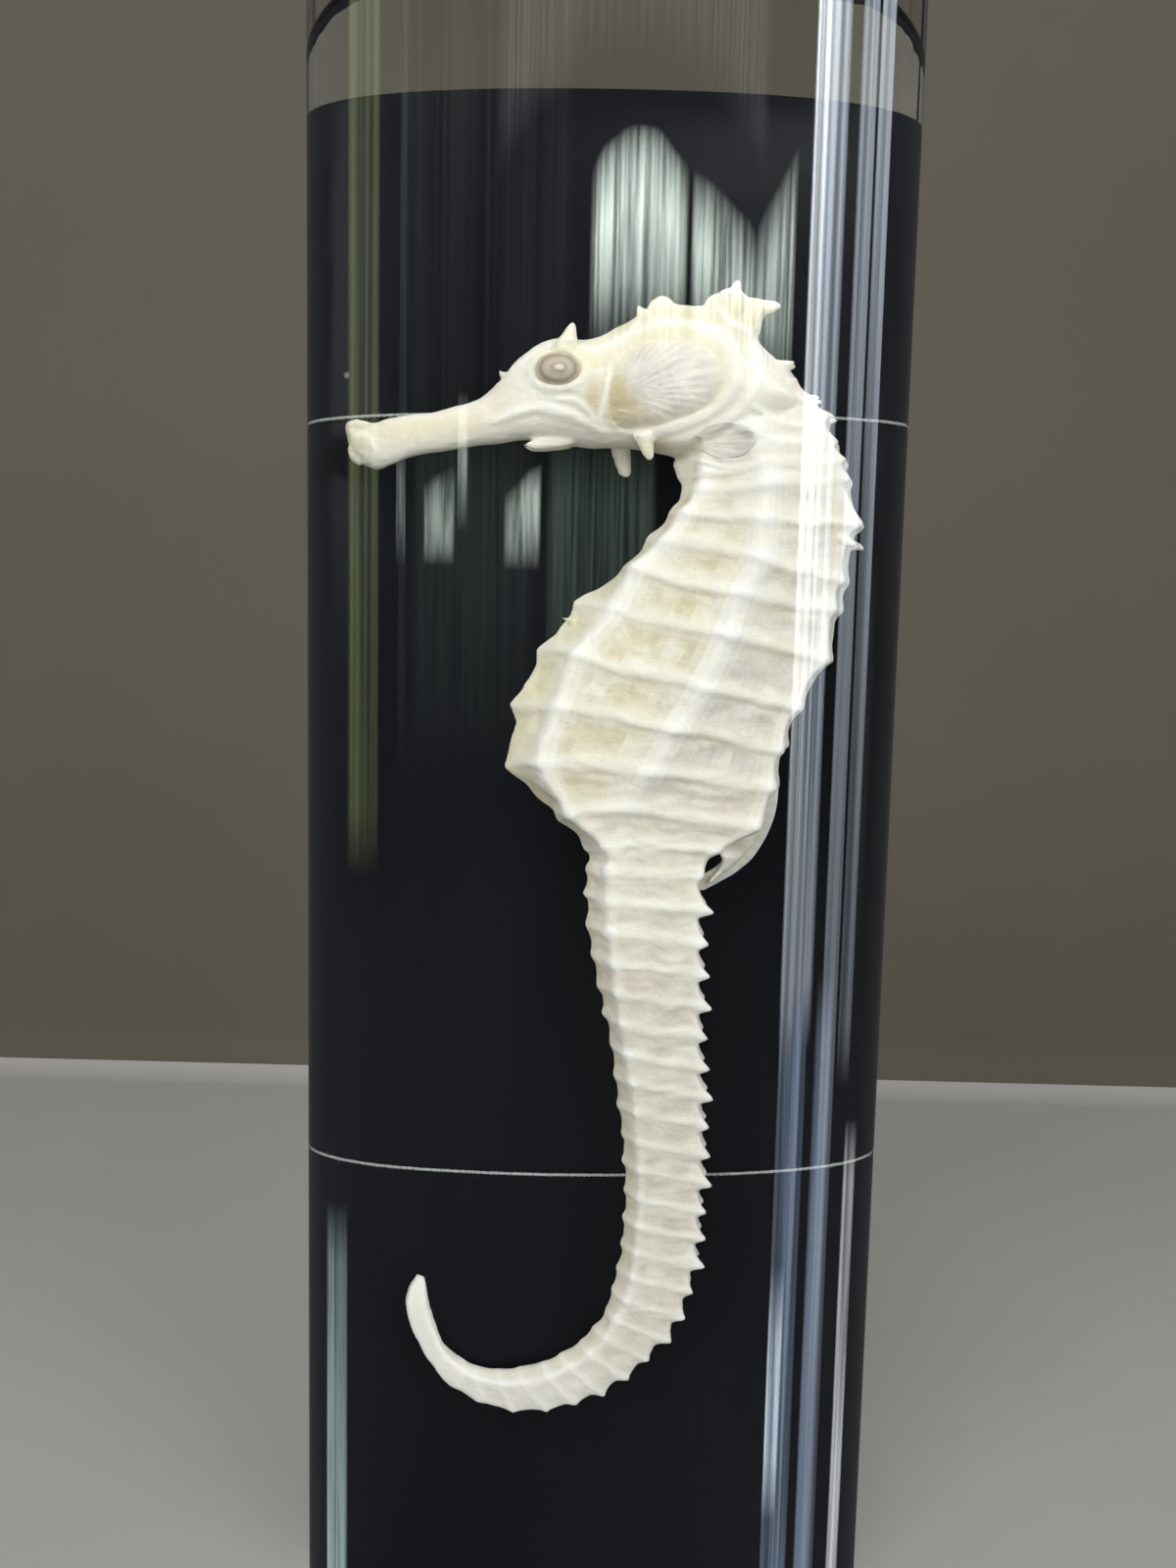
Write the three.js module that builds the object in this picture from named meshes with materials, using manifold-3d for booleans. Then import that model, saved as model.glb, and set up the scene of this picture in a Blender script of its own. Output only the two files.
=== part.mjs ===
// A fluid-preserved seahorse in a museum jar: a glass cylinder with a ground rim and a knobbed glass
// lid on a sealing ring. Inside, a black backing plate stands upright in the preserving fluid, and
// two cotton threads run round the plate, under the skin of the specimen, and hold it there.
// Millimetres, +Z up. The origin is the centre of the jar's foot. The specimen is on the -Y side of
// the plate, with its snout towards -X.
import * as THREE from "three";
import { mergeVertices } from "three/addons/utils/BufferGeometryUtils.js";
import Module from "manifold-3d";

const wasm = await Module();
wasm.setup();

// Driving dimensions
const CLEARANCE = 0.3;
const ROUND_SEGMENTS = 64;

const JAR_RADIUS = 35;
const WALL = 3;
const BORE = JAR_RADIUS - WALL;
const JAR_HEIGHT = 225;
const FLOOR = 8;
const FOOT_INNER = 23;
const FOOT_OUTER = 31.5;
const PUNT_DEPTH = 2;
const HEEL_RADIUS = JAR_RADIUS - FOOT_OUTER;
const FLOOR_FILLET = 2.5;
const RIM_RADIUS = 38;
const RIM_HEIGHT = 6;
const RIM_FLARE = 6;
const EDGE = 0.6;

const SEAL_THICKNESS = 0.9;
const SEAL_INNER = BORE + 0.8;
const SEAL_OUTER = RIM_RADIUS - 0.6;
const SEAL_BOTTOM = JAR_HEIGHT + CLEARANCE;

const LID_BOTTOM = SEAL_BOTTOM + SEAL_THICKNESS + CLEARANCE;
const LID_THICKNESS = 6;
const LID_TOP = LID_BOTTOM + LID_THICKNESS;
const PLUG_RADIUS = BORE - 0.8;
const PLUG_DEPTH = 6;
const PLUG_HOLLOW = 1.6;
const KNOB_NECK = 6.5;
const KNOB_RADIUS = 12;
const KNOB_HEIGHT = 24;

const FLUID_LEVEL = 190;
const FLUID_RADIUS = BORE - CLEARANCE;

const PLATE_WIDTH = 61.6;
const PLATE_THICKNESS = 3;
const PLATE_FRONT = -4.5;
const PLATE_BACK = PLATE_FRONT + PLATE_THICKNESS;
const PLATE_TOP = 184.5;
const PLATE_BOTTOM = FLOOR + CLEARANCE;
const PLATE_CHAMFER = 3;
const NOTCH_DEPTH = 0.9;
const NOTCH_HALF = 0.8;

const THREAD_RADIUS = 0.18;
const THREAD_OFFSET = CLEARANCE + THREAD_RADIUS;
const THREAD_BEND = 0.8;
const STITCH_RADIUS = THREAD_RADIUS + CLEARANCE;
const UPPER_THREAD = { level: 151, slope: 0.018, knotX: 6 };
const LOWER_THREAD = { level: 64.8, slope: 0.022, knotX: 9 };

// The specimen's own heights are measured from this level, that of its sixth trunk ring.
const SPECIMEN_LEVEL = 125;
const TRUNK_HALF_THICKNESS = 6.8;
const MID_PLANE = PLATE_FRONT - CLEARANCE - TRUNK_HALF_THICKNESS;
const RING_RELIEF = 0.045;
const FIN_RING = 9;
const EYE_RADIUS = 1.45;
const FIN_THICKNESS = 0.6;

// Each station of the trunk is one bony ring: belly x and z, back x and z, half thickness.
const TRUNK_RINGS = [
  [4.5, 27.0, 16.5, 29.5, 4.2],
  [6.0, 22.5, 19.2, 25.0, 4.8],
  [6.6, 18.0, 21.0, 20.4, 5.2],
  [5.4, 14.2, 22.0, 16.0, 5.7],
  [2.6, 10.2, 22.2, 11.4, 6.2],
  [-0.6, 6.2, 21.2, 7.2, 6.6],
  [-3.4, 2.8, 20.4, 2.6, 6.8],
  [-5.6, -1.2, 18.6, -2.2, 6.8],
  [-7.2, -5.4, 16.6, -6.6, 6.6],
  [-7.8, -9.6, 15.0, -10.8, 6.2],
  [-7.2, -13.2, 13.6, -14.8, 5.7],
  [-4.6, -16.4, 12.2, -18.8, 5.1],
  [-1.6, -19.6, 10.6, -22.6, 4.5],
  [-0.6, -23.4, 9.4, -26.2, 4.1],
];

// Each station of the head runs from throat to crown: throat x and z, crown x and z, half thickness.
const HEAD_SECTIONS = [
  [-22.4, 19.5, -24.6, 24.0, 1.5],
  [-20.8, 19.4, -22.8, 24.7, 1.9],
  [-18.6, 20.6, -19.6, 24.8, 1.8],
  [-14.8, 21.4, -15.4, 25.3, 1.9],
  [-11.0, 21.8, -11.6, 26.4, 2.3],
  [-8.0, 21.6, -8.8, 28.4, 3.0],
  [-4.6, 20.9, -5.4, 31.2, 4.0],
  [-1.2, 20.2, -1.0, 32.8, 4.9],
  [2.6, 19.8, 3.2, 34.8, 5.5],
  [6.8, 19.8, 7.6, 35.4, 5.7],
  [10.6, 20.8, 12.0, 35.2, 5.1],
  [13.6, 22.8, 15.4, 31.8, 4.1],
  [15.6, 24.8, 16.6, 28.6, 2.6],
];

// Centre line of the tail, x and z, from inside the trunk to the curled tip.
const TAIL_LINE = [
  [4.4, -22], [4.5, -28], [5.2, -35], [6.0, -42], [6.8, -50], [7.2, -57], [7.1, -64], [6.4, -70],
  [4.8, -75.6], [2.2, -79.6], [-1.6, -82.4], [-6.0, -83.8], [-10.4, -83.4], [-13.9, -81.0],
  [-15.9, -77.4], [-16.3, -72.6],
];
const TAIL_HALF_DEPTH = 4.9;
const TAIL_TAPER = 0.6;
const TAIL_TIP = 0.5;
const TAIL_SQUARENESS = 0.82;
const TAIL_RINGS = 32;

// Spines of the head and the coronet: root x and z, tip x and z, root radius, offset from mid-plane.
const HEAD_SPINES = [
  [-7.6, 27.4, -9.6, 29.4, 0.8, 0],
  [-3.6, 31.4, -3.3, 34.1, 0.9, 2.2],
  [-3.6, 31.4, -3.3, 34.1, 0.9, -2.2],
  [4.0, 33.8, 4.2, 37.0, 1.1, 0],
  [9.2, 34.0, 9.6, 37.6, 1.6, 0.8],
  [10.4, 34.0, 11.2, 38.8, 2.2, -0.4],
  [11.6, 34.2, 15.1, 36.5, 1.8, 0.6],
  [16.4, 27.0, 20.0, 26.3, 1.2, 0],
  [-6.4, 22.6, -7.1, 20.6, 0.8, 1.6],
  [-6.4, 22.6, -7.1, 20.6, 0.8, -1.6],
  [1.4, 21.8, 1.8, 18.6, 1.0, 2.6],
  [2.9, 21.8, 3.9, 19.2, 1.0, -2.6],
];

// Outlines of the fins, x and z. The dorsal fin's root follows the back, just clear of it.
const DORSAL_FIN = [
  [15.8, -11.4], [16.6, -14.2], [16.3, -17.4], [15.1, -20.9], [13.0, -23.7], [10.5, -25.6],
  [11.6, -22.6], [13.0, -19.0], [14.4, -15.2],
];
const PECTORAL_FIN = [[7.6, 24.2], [10.4, 23.9], [12.9, 22.6], [12.6, 20.4], [9.8, 20.0], [7.8, 21.8]];
const PECTORAL_OFFSET = 6.25;

const glass = (opacity) =>
  new THREE.MeshStandardMaterial({ color: 0xdfeae6, roughness: 0.05, metalness: 0, transparent: true, opacity });
const matte = (color, roughness) => new THREE.MeshStandardMaterial({ color, roughness, metalness: 0 });

const GLASS = glass(0.3);
const FLUID = glass(0.18);
const SEAL = matte(0xd8d2bf, 0.5);
const BLACK_ACRYLIC = matte(0x0a0b0c, 0.35);
const COTTON = matte(0xe9e5d8, 0.9);
const SKIN = matte(0xe6e1cd, 0.6);
const FIN_SKIN = matte(0xcfc6ad, 0.5);
const EYE = matte(0x8d8574, 0.25);

function piece(name, geometry, material) {
  const mesh = new THREE.Mesh(geometry, material);
  mesh.name = name;
  return mesh;
}

function solid(geometry) {
  const bare = geometry.clone();
  bare.deleteAttribute("normal");
  bare.deleteAttribute("uv");
  const merged = mergeVertices(bare);
  return new wasm.Manifold(
    new wasm.Mesh({
      numProp: 3,
      vertProperties: new Float32Array(merged.attributes.position.array),
      triVerts: new Uint32Array(merged.index.array),
    }),
  );
}

function geometryOf(manifold) {
  const mesh = manifold.getMesh();
  const geometry = new THREE.BufferGeometry();
  geometry.setAttribute("position", new THREE.BufferAttribute(mesh.vertProperties, 3));
  geometry.setIndex(new THREE.BufferAttribute(mesh.triVerts, 1));
  geometry.computeVertexNormals();
  return geometry;
}

const joined = (geometries) => geometries.map(solid).reduce((whole, next) => whole.add(next));

// A profile of [radius, height] points turned about the vertical axis.
function turned(profile, segments = ROUND_SEGMENTS) {
  const points = profile.map(([r, z]) => new THREE.Vector2(r, z));
  return new THREE.LatheGeometry(points, segments).rotateX(Math.PI / 2);
}

// Points of an arc about [r, z], from one angle to another, in degrees.
function arc(r, z, radius, from, to, steps) {
  return Array.from({ length: steps + 1 }, (_, i) => {
    const angle = THREE.MathUtils.degToRad(from + ((to - from) * i) / steps);
    return [r + radius * Math.cos(angle), z + radius * Math.sin(angle)];
  });
}

function jarCylinder() {
  const flareBottom = JAR_HEIGHT - RIM_HEIGHT - RIM_FLARE;
  const rimStep = RIM_RADIUS - JAR_RADIUS;
  return turned([
    [0, PUNT_DEPTH],
    [FOOT_INNER * 0.6, PUNT_DEPTH * 0.85],
    [FOOT_INNER, 0],
    ...arc(FOOT_OUTER, HEEL_RADIUS, HEEL_RADIUS, -90, 0, 4),
    [JAR_RADIUS, flareBottom],
    [JAR_RADIUS + rimStep * 0.2, flareBottom + RIM_FLARE * 0.5],
    [JAR_RADIUS + rimStep * 0.6, flareBottom + RIM_FLARE * 0.85],
    [RIM_RADIUS - EDGE, flareBottom + RIM_FLARE],
    [RIM_RADIUS, flareBottom + RIM_FLARE + EDGE],
    [RIM_RADIUS, JAR_HEIGHT - EDGE],
    [RIM_RADIUS - EDGE, JAR_HEIGHT],
    [BORE + EDGE, JAR_HEIGHT],
    [BORE, JAR_HEIGHT - EDGE],
    ...arc(BORE - FLOOR_FILLET, FLOOR + FLOOR_FILLET, FLOOR_FILLET, 0, -90, 3),
    [0, FLOOR],
  ]);
}

function sealingRing() {
  const top = SEAL_BOTTOM + SEAL_THICKNESS;
  return turned([
    [SEAL_INNER, SEAL_BOTTOM],
    [SEAL_OUTER, SEAL_BOTTOM],
    [SEAL_OUTER, top],
    [SEAL_INNER, top],
    [SEAL_INNER, SEAL_BOTTOM],
  ]);
}

function lid() {
  const plugBottom = LID_BOTTOM - PLUG_DEPTH;
  const knobCentre = LID_TOP + KNOB_HEIGHT - KNOB_RADIUS * 0.75;
  return turned([
    [0, plugBottom + PLUG_HOLLOW],
    [PLUG_RADIUS * 0.7, plugBottom + PLUG_HOLLOW * 0.7],
    [PLUG_RADIUS - 2.5, plugBottom],
    [PLUG_RADIUS - EDGE, plugBottom],
    [PLUG_RADIUS, plugBottom + EDGE],
    [PLUG_RADIUS, LID_BOTTOM],
    [RIM_RADIUS - EDGE, LID_BOTTOM],
    [RIM_RADIUS, LID_BOTTOM + EDGE],
    ...arc(RIM_RADIUS - 2.5, LID_TOP - 2.5, 2.5, 0, 90, 4),
    [KNOB_NECK * 1.9, LID_TOP],
    [KNOB_NECK * 1.25, LID_TOP + 1.6],
    [KNOB_NECK, LID_TOP + 5],
    ...arc(0, 0, 1, -50, 90, 10).map(([r, z]) => [KNOB_RADIUS * r, knobCentre + KNOB_RADIUS * 0.75 * z]),
  ]);
}

// The fluid fills the jar up to its level. A bay is left in it, open at the bottom, for the plate
// and the specimen, so that the rigid solid touches neither of them.
function preservingFluid() {
  const bottom = FLOOR + CLEARANCE;
  const fillet = FLOOR_FILLET;
  const column = turned([
    [0, bottom],
    ...arc(FLUID_RADIUS - fillet, bottom + fillet, fillet, -90, 0, 3),
    [FLUID_RADIUS, FLUID_LEVEL],
    [0, FLUID_LEVEL],
  ]);
  const bayFront = MID_PLANE - TRUNK_HALF_THICKNESS - 1.2;
  const bayBack = PLATE_BACK + THREAD_OFFSET * 2 + 1.5;
  const bayTop = PLATE_TOP + CLEARANCE;
  const bay = new THREE.BoxGeometry(JAR_RADIUS * 2, bayBack - bayFront, bayTop);
  bay.translate(0, (bayFront + bayBack) / 2, bayTop / 2);
  return geometryOf(solid(column).subtract(solid(bay)));
}

// Height of a thread where it crosses the plate at x.
const threadHeight = (thread, x) => thread.level + thread.slope * x;

// The plate is upright, with a small notch in each edge for each thread. Its bottom corners are cut
// off to clear the fillet between the jar's wall and floor.
function backingPlate() {
  const half = PLATE_WIDTH / 2;
  const outline = new THREE.Shape();
  const notch = (side, thread, direction) => {
    const z = threadHeight(thread, side * half);
    outline.lineTo(side * half, z - direction * NOTCH_HALF);
    outline.lineTo(side * (half - NOTCH_DEPTH), z - direction * NOTCH_HALF * 0.6);
    outline.lineTo(side * (half - NOTCH_DEPTH), z + direction * NOTCH_HALF * 0.6);
    outline.lineTo(side * half, z + direction * NOTCH_HALF);
  };
  outline.moveTo(-half, PLATE_BOTTOM + PLATE_CHAMFER);
  outline.lineTo(-half + PLATE_CHAMFER, PLATE_BOTTOM);
  outline.lineTo(half - PLATE_CHAMFER, PLATE_BOTTOM);
  outline.lineTo(half, PLATE_BOTTOM + PLATE_CHAMFER);
  notch(1, LOWER_THREAD, 1);
  notch(1, UPPER_THREAD, 1);
  outline.lineTo(half, PLATE_TOP);
  outline.lineTo(-half, PLATE_TOP);
  notch(-1, UPPER_THREAD, -1);
  notch(-1, LOWER_THREAD, -1);
  outline.closePath();
  const plate = new THREE.ExtrudeGeometry(outline, { depth: PLATE_THICKNESS, bevelEnabled: false });
  return plate.rotateX(Math.PI / 2).translate(0, PLATE_BACK, 0);
}

// A curve whose steps follow its points, not its length, so that short bends get steps of their own.
class SteppedCurve extends THREE.CatmullRomCurve3 {
  getPointAt(t, target) {
    return this.getPoint(t, target);
  }
  getTangentAt(t, target) {
    return this.getTangent(t, target);
  }
}

// A round tube through a list of points.
function tube(points, radius, sides, stepsPerPoint = 1) {
  const section = new THREE.Shape();
  for (let i = 0; i < sides; i++) {
    const angle = (i / sides) * Math.PI * 2;
    const x = radius * Math.cos(angle);
    const y = radius * Math.sin(angle);
    if (i === 0) section.moveTo(x, y);
    else section.lineTo(x, y);
  }
  section.closePath();
  return new THREE.ExtrudeGeometry(section, {
    extrudePath: new SteppedCurve(points, false, "centripetal"),
    steps: (points.length - 1) * stepsPerPoint,
    bevelEnabled: false,
  });
}

// One cotton thread: across the front of the plate, round both edges in their notches, and tied in
// a knot with two short ends on the back.
function thread(route) {
  const front = PLATE_FRONT - THREAD_OFFSET;
  const back = PLATE_BACK + THREAD_OFFSET;
  const side = PLATE_WIDTH / 2 - NOTCH_DEPTH + THREAD_OFFSET;
  const at = (x, y) => new THREE.Vector3(x, y, threadHeight(route, x));
  const corner = (x, y, from) =>
    arc(x, y, THREAD_BEND, from, from + 90, 4).map(([cx, cy]) => at(cx, cy));
  const inX = side - THREAD_BEND;
  const points = [
    at(route.knotX - 0.4, back),
    at(-inX / 2, back),
    ...corner(-inX, back - THREAD_BEND, 90),
    ...corner(-inX, front + THREAD_BEND, 180),
    at(-inX / 2, front),
    at(0, front),
    at(inX / 2, front),
    ...corner(inX, front + THREAD_BEND, 270),
    ...corner(inX, back - THREAD_BEND, 0),
    at(inX / 2, back),
    at(route.knotX + 0.4, back),
  ];
  const knotCentre = at(route.knotX, back + 0.25);
  const knot = new THREE.SphereGeometry(0.75, 10, 8).scale(1.25, 0.8, 1);
  knot.translate(knotCentre.x, knotCentre.y, knotCentre.z);
  const end = (reach) =>
    tube(
      [
        knotCentre.clone(),
        new THREE.Vector3(route.knotX + reach * 0.4, knotCentre.y + 0.3, knotCentre.z - 1.6),
        new THREE.Vector3(route.knotX + reach, knotCentre.y + 0.1, knotCentre.z - 4.5),
      ],
      THREAD_RADIUS,
      6,
      2,
    );
  return geometryOf(joined([tube(points, THREAD_RADIUS, 8), knot, end(1.6), end(-1.1)]));
}

// A closed body made by bending a unit cylinder: each height of the cylinder becomes the section
// given by sectionAt(v), which has its centre, in-plane half axis and half thickness along Y.
function swept(sectionAt, sides, steps, squareness = 1) {
  const body = new THREE.CylinderGeometry(1, 1, 1, sides, steps);
  const position = body.attributes.position;
  const flatten = (value) => Math.sign(value) * Math.abs(value) ** squareness;
  for (let i = 0; i < position.count; i++) {
    const section = sectionAt(position.getY(i) + 0.5);
    const inPlane = flatten(position.getX(i));
    const across = flatten(position.getZ(i));
    position.setXYZ(
      i,
      section.centre.x + section.halfAxis.x * inPlane,
      section.centre.y + section.halfThickness * across,
      section.centre.z + section.halfAxis.z * inPlane,
    );
  }
  return body;
}

const specimenPoint = (x, z, offset = 0) => new THREE.Vector3(x, MID_PLANE + offset, SPECIMEN_LEVEL + z);

// Sections between a lower and an upper outline, which both pass through every station.
function outlined(stations) {
  const lower = new THREE.CatmullRomCurve3(stations.map((s) => specimenPoint(s[0], s[1])));
  const upper = new THREE.CatmullRomCurve3(stations.map((s) => specimenPoint(s[2], s[3])));
  const width = new THREE.CatmullRomCurve3(stations.map((s, i) => new THREE.Vector3(i, s[4], 0)));
  return (v, relief = 0) => {
    const a = lower.getPoint(v);
    const b = upper.getPoint(v);
    return {
      centre: a.clone().add(b).multiplyScalar(0.5),
      halfAxis: b.clone().sub(a).multiplyScalar(0.5 * (1 + relief)),
      halfThickness: width.getPoint(v).y * (1 + relief),
    };
  };
}

const ridge = (ringPhase) => RING_RELIEF * (Math.cos(ringPhase * Math.PI * 2) - 1) * 0.5;
const trunkSection = outlined(TRUNK_RINGS);
const headSection = outlined(HEAD_SECTIONS);
const tailCurve = new THREE.CatmullRomCurve3(TAIL_LINE.map(([x, z]) => specimenPoint(x, z)));

function tailSection(v, relief = 0) {
  const point = tailCurve.getPointAt(v);
  const tangent = tailCurve.getTangentAt(v);
  const halfDepth = Math.max(TAIL_HALF_DEPTH * (1 - v) ** TAIL_TAPER, TAIL_TIP) * (1 + relief);
  const halfThickness = halfDepth * TAIL_SQUARENESS;
  const againstPlate = PLATE_FRONT - CLEARANCE - halfThickness;
  point.y = THREE.MathUtils.lerp(MID_PLANE, againstPlate, THREE.MathUtils.smoothstep(v, 0, 0.4));
  const across = new THREE.Vector3(-tangent.z, 0, tangent.x).multiplyScalar(halfDepth);
  return { centre: point, halfAxis: across, halfThickness };
}

// A cone from root to tip.
function spine(root, tip, radius) {
  const length = root.distanceTo(tip);
  const cone = new THREE.ConeGeometry(radius, length, 6);
  const turn = new THREE.Quaternion().setFromUnitVectors(
    new THREE.Vector3(0, 1, 0),
    tip.clone().sub(root).normalize(),
  );
  cone.translate(0, length / 2, 0).applyQuaternion(turn);
  return cone.translate(root.x, root.y, root.z);
}

// Blunt spines at the belly end (-1) or the back end (1) of a section, reaching past its outline.
function ringSpines(section, ends, reach, radius) {
  return ends.map((end) => {
    const outward = section.halfAxis.clone().normalize().multiplyScalar(end);
    const surface = section.centre.clone().addScaledVector(section.halfAxis, end);
    return spine(
      surface.clone().addScaledVector(outward, -radius * 1.6),
      surface.clone().addScaledVector(outward, reach),
      radius,
    );
  });
}

function seahorseBody() {
  const trunkRings = TRUNK_RINGS.length - 1;
  const trunk = swept((v) => trunkSection(v, ridge(v * trunkRings)), 16, trunkRings * 3);
  const head = swept((v) => headSection(v), 14, (HEAD_SECTIONS.length - 1) * 2);
  const tail = swept((v) => tailSection(v, ridge(v * TAIL_RINGS)), 10, TAIL_RINGS * 2, 0.8);
  const spines = HEAD_SPINES.map(([rx, rz, tx, tz, radius, offset]) =>
    spine(specimenPoint(rx, rz, offset), specimenPoint(tx, tz, offset * 1.3), radius),
  );
  for (let ring = 1; ring < trunkRings - 2; ring++) {
    const ends = ring < 3 ? [1] : ring < FIN_RING ? [-1, 1] : [-1];
    spines.push(...ringSpines(trunkSection(ring / trunkRings), ends, 1, 1.5));
  }
  for (let ring = 2; ring < TAIL_RINGS * 0.8; ring++) {
    spines.push(...ringSpines(tailSection(ring / TAIL_RINGS), ring < 3 ? [-1] : [-1, 1], 0.6, 1));
  }
  let body = joined([trunk, head, tail, ...spines]);
  for (const side of [-1, 1]) {
    body = body.subtract(solid(eyeBall(side, EYE_RADIUS + CLEARANCE)));
  }
  for (const route of [UPPER_THREAD, LOWER_THREAD]) {
    const y = PLATE_FRONT - THREAD_OFFSET;
    const ends = [-BORE, 0, BORE].map((x) => new THREE.Vector3(x, y, threadHeight(route, x)));
    body = body.subtract(solid(tube(ends, STITCH_RADIUS, 8)));
  }
  return geometryOf(body);
}

function eyeBall(side, radius) {
  const centre = specimenPoint(-4.4, 29.0, side * 3.3);
  return new THREE.SphereGeometry(radius, 16, 10).translate(centre.x, centre.y, centre.z);
}

// A thin fin cut from an outline in the specimen's mid-plane.
function fin(outline, offset) {
  const shape = new THREE.Shape();
  shape.moveTo(outline[0][0], outline[0][1]);
  shape.splineThru(outline.slice(1).map(([x, z]) => new THREE.Vector2(x, z)));
  shape.closePath();
  const blade = new THREE.ExtrudeGeometry(shape, {
    depth: FIN_THICKNESS,
    bevelEnabled: false,
    curveSegments: outline.length * 2,
  });
  return blade.rotateX(Math.PI / 2).translate(0, MID_PLANE + offset + FIN_THICKNESS / 2, SPECIMEN_LEVEL);
}

const jar = new THREE.Group();
jar.add(
  piece("jar_cylinder", jarCylinder(), GLASS),
  piece("sealing_ring", sealingRing(), SEAL),
  piece("preserving_fluid", preservingFluid(), FLUID),
);

const mount = new THREE.Group();
mount.add(
  piece("backing_plate", backingPlate(), BLACK_ACRYLIC),
  piece("upper_thread", thread(UPPER_THREAD), COTTON),
  piece("lower_thread", thread(LOWER_THREAD), COTTON),
  piece("seahorse_body", seahorseBody(), SKIN),
  piece("near_eye", geometryOf(solid(eyeBall(-1, EYE_RADIUS))), EYE),
  piece("far_eye", geometryOf(solid(eyeBall(1, EYE_RADIUS))), EYE),
  piece("dorsal_fin", fin(DORSAL_FIN, 0), FIN_SKIN),
  piece("near_pectoral_fin", fin(PECTORAL_FIN, -PECTORAL_OFFSET), FIN_SKIN),
  piece("far_pectoral_fin", fin(PECTORAL_FIN, PECTORAL_OFFSET), FIN_SKIN),
);

const object = new THREE.Group();
object.add(jar, mount, piece("lid", lid(), GLASS));

export default object;
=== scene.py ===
"""A fluid-preserved seahorse in a museum jar: the looks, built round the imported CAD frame.

Lengths in the tables are millimetres. The specimen's own x and z are measured from the jar's axis and
from SPECIMEN_LEVEL, which the frame's eyes give; its near side faces -Y.
"""
import math

import bpy
import numpy as np
from mathutils import Matrix, Vector, kdtree


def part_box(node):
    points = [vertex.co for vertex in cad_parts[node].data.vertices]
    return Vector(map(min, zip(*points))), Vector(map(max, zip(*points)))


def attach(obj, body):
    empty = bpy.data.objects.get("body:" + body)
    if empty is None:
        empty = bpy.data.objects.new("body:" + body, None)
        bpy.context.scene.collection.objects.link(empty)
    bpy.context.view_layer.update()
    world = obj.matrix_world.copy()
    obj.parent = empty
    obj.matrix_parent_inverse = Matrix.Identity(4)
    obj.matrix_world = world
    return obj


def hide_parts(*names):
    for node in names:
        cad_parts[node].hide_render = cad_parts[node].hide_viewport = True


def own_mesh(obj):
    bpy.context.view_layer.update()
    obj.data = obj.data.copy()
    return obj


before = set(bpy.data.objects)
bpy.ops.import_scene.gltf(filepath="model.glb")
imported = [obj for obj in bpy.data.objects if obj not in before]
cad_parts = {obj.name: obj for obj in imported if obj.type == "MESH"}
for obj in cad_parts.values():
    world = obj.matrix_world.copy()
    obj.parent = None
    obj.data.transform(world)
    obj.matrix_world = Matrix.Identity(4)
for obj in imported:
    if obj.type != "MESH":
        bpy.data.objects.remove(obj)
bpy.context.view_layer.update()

MM = 0.001
TINY = 1e-9


def box_mm(node):
    low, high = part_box(node)
    return np.array(low) / MM, np.array(high) / MM


# ---------------------------------------------------------------- places read from the frame
_, jar_high = box_mm("jar_cylinder")
lid_low, lid_high = box_mm("lid")
seal_low, seal_high = box_mm("sealing_ring")
fluid_low, fluid_high = box_mm("preserving_fluid")
plate_low, plate_high = box_mm("backing_plate")
near_eye_centre = sum(box_mm("near_eye")) / 2
far_eye_centre = sum(box_mm("far_eye")) / 2

EYE_X, EYE_Z = -4.4, 29.0
MID_PLANE = (near_eye_centre[1] + far_eye_centre[1]) / 2
SPECIMEN_LEVEL = near_eye_centre[2] - EYE_Z
PLATE_FRONT, PLATE_BACK = plate_low[1], plate_high[1]
PLATE_GAP = 0.3

WALL = 3.0
JAR_RADIUS = 35.0
BORE = JAR_RADIUS - WALL
JAR_HEIGHT = jar_high[2]
RIM_RADIUS = jar_high[0]
FLUID_LEVEL = fluid_high[2]

GLASS_IOR = 1.5
FLUID_IOR = 1.36


# ---------------------------------------------------------------- mesh helpers
def catmull_rom(p0, p1, p2, p3, t):
    """The curve from p1 to p2 at t, where p0 and p3 are the points before and after them."""
    return 0.5 * (
        2 * p1
        + (p2 - p0) * t
        + (2 * p0 - 5 * p1 + 4 * p2 - p3) * t**2
        + (3 * p1 - p0 - 3 * p2 + p3) * t**3
    )


def spline(points, q):
    """A smooth curve through rows of points, read at the fractional row numbers q."""
    points = np.asarray(points, float)
    last = len(points) - 1
    i = np.clip(np.floor(q).astype(int), 0, last - 1)
    t = (q - i).reshape((-1,) + (1,) * (points.ndim - 1))
    neighbours = (points[np.clip(i + k, 0, last)] for k in (-1, 0, 1, 2))
    return catmull_rom(*neighbours, t)


def smoothstep(x, low, high):
    """0 up to low, 1 from high on, and a smooth rise between them."""
    t = np.clip((x - low) / (high - low), 0, 1)
    return t * t * (3 - 2 * t)


def bell(x, width):
    """A smooth bump, 1 where x is 0 and close to nought beyond twice the width."""
    return np.exp(-((x / width) ** 2))


def full_turn(count):
    """Angles spread evenly round a circle."""
    return np.linspace(0, 2 * math.pi, count, endpoint=False)


def unit(vectors, tiny=0.0):
    """Rows of vectors at length 1; tiny keeps a vector without length at nought."""
    return vectors / (np.linalg.norm(vectors, axis=-1, keepdims=True) + tiny)


def shade_smooth(mesh):
    mesh.polygons.foreach_set("use_smooth", [True] * len(mesh.polygons))


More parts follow.
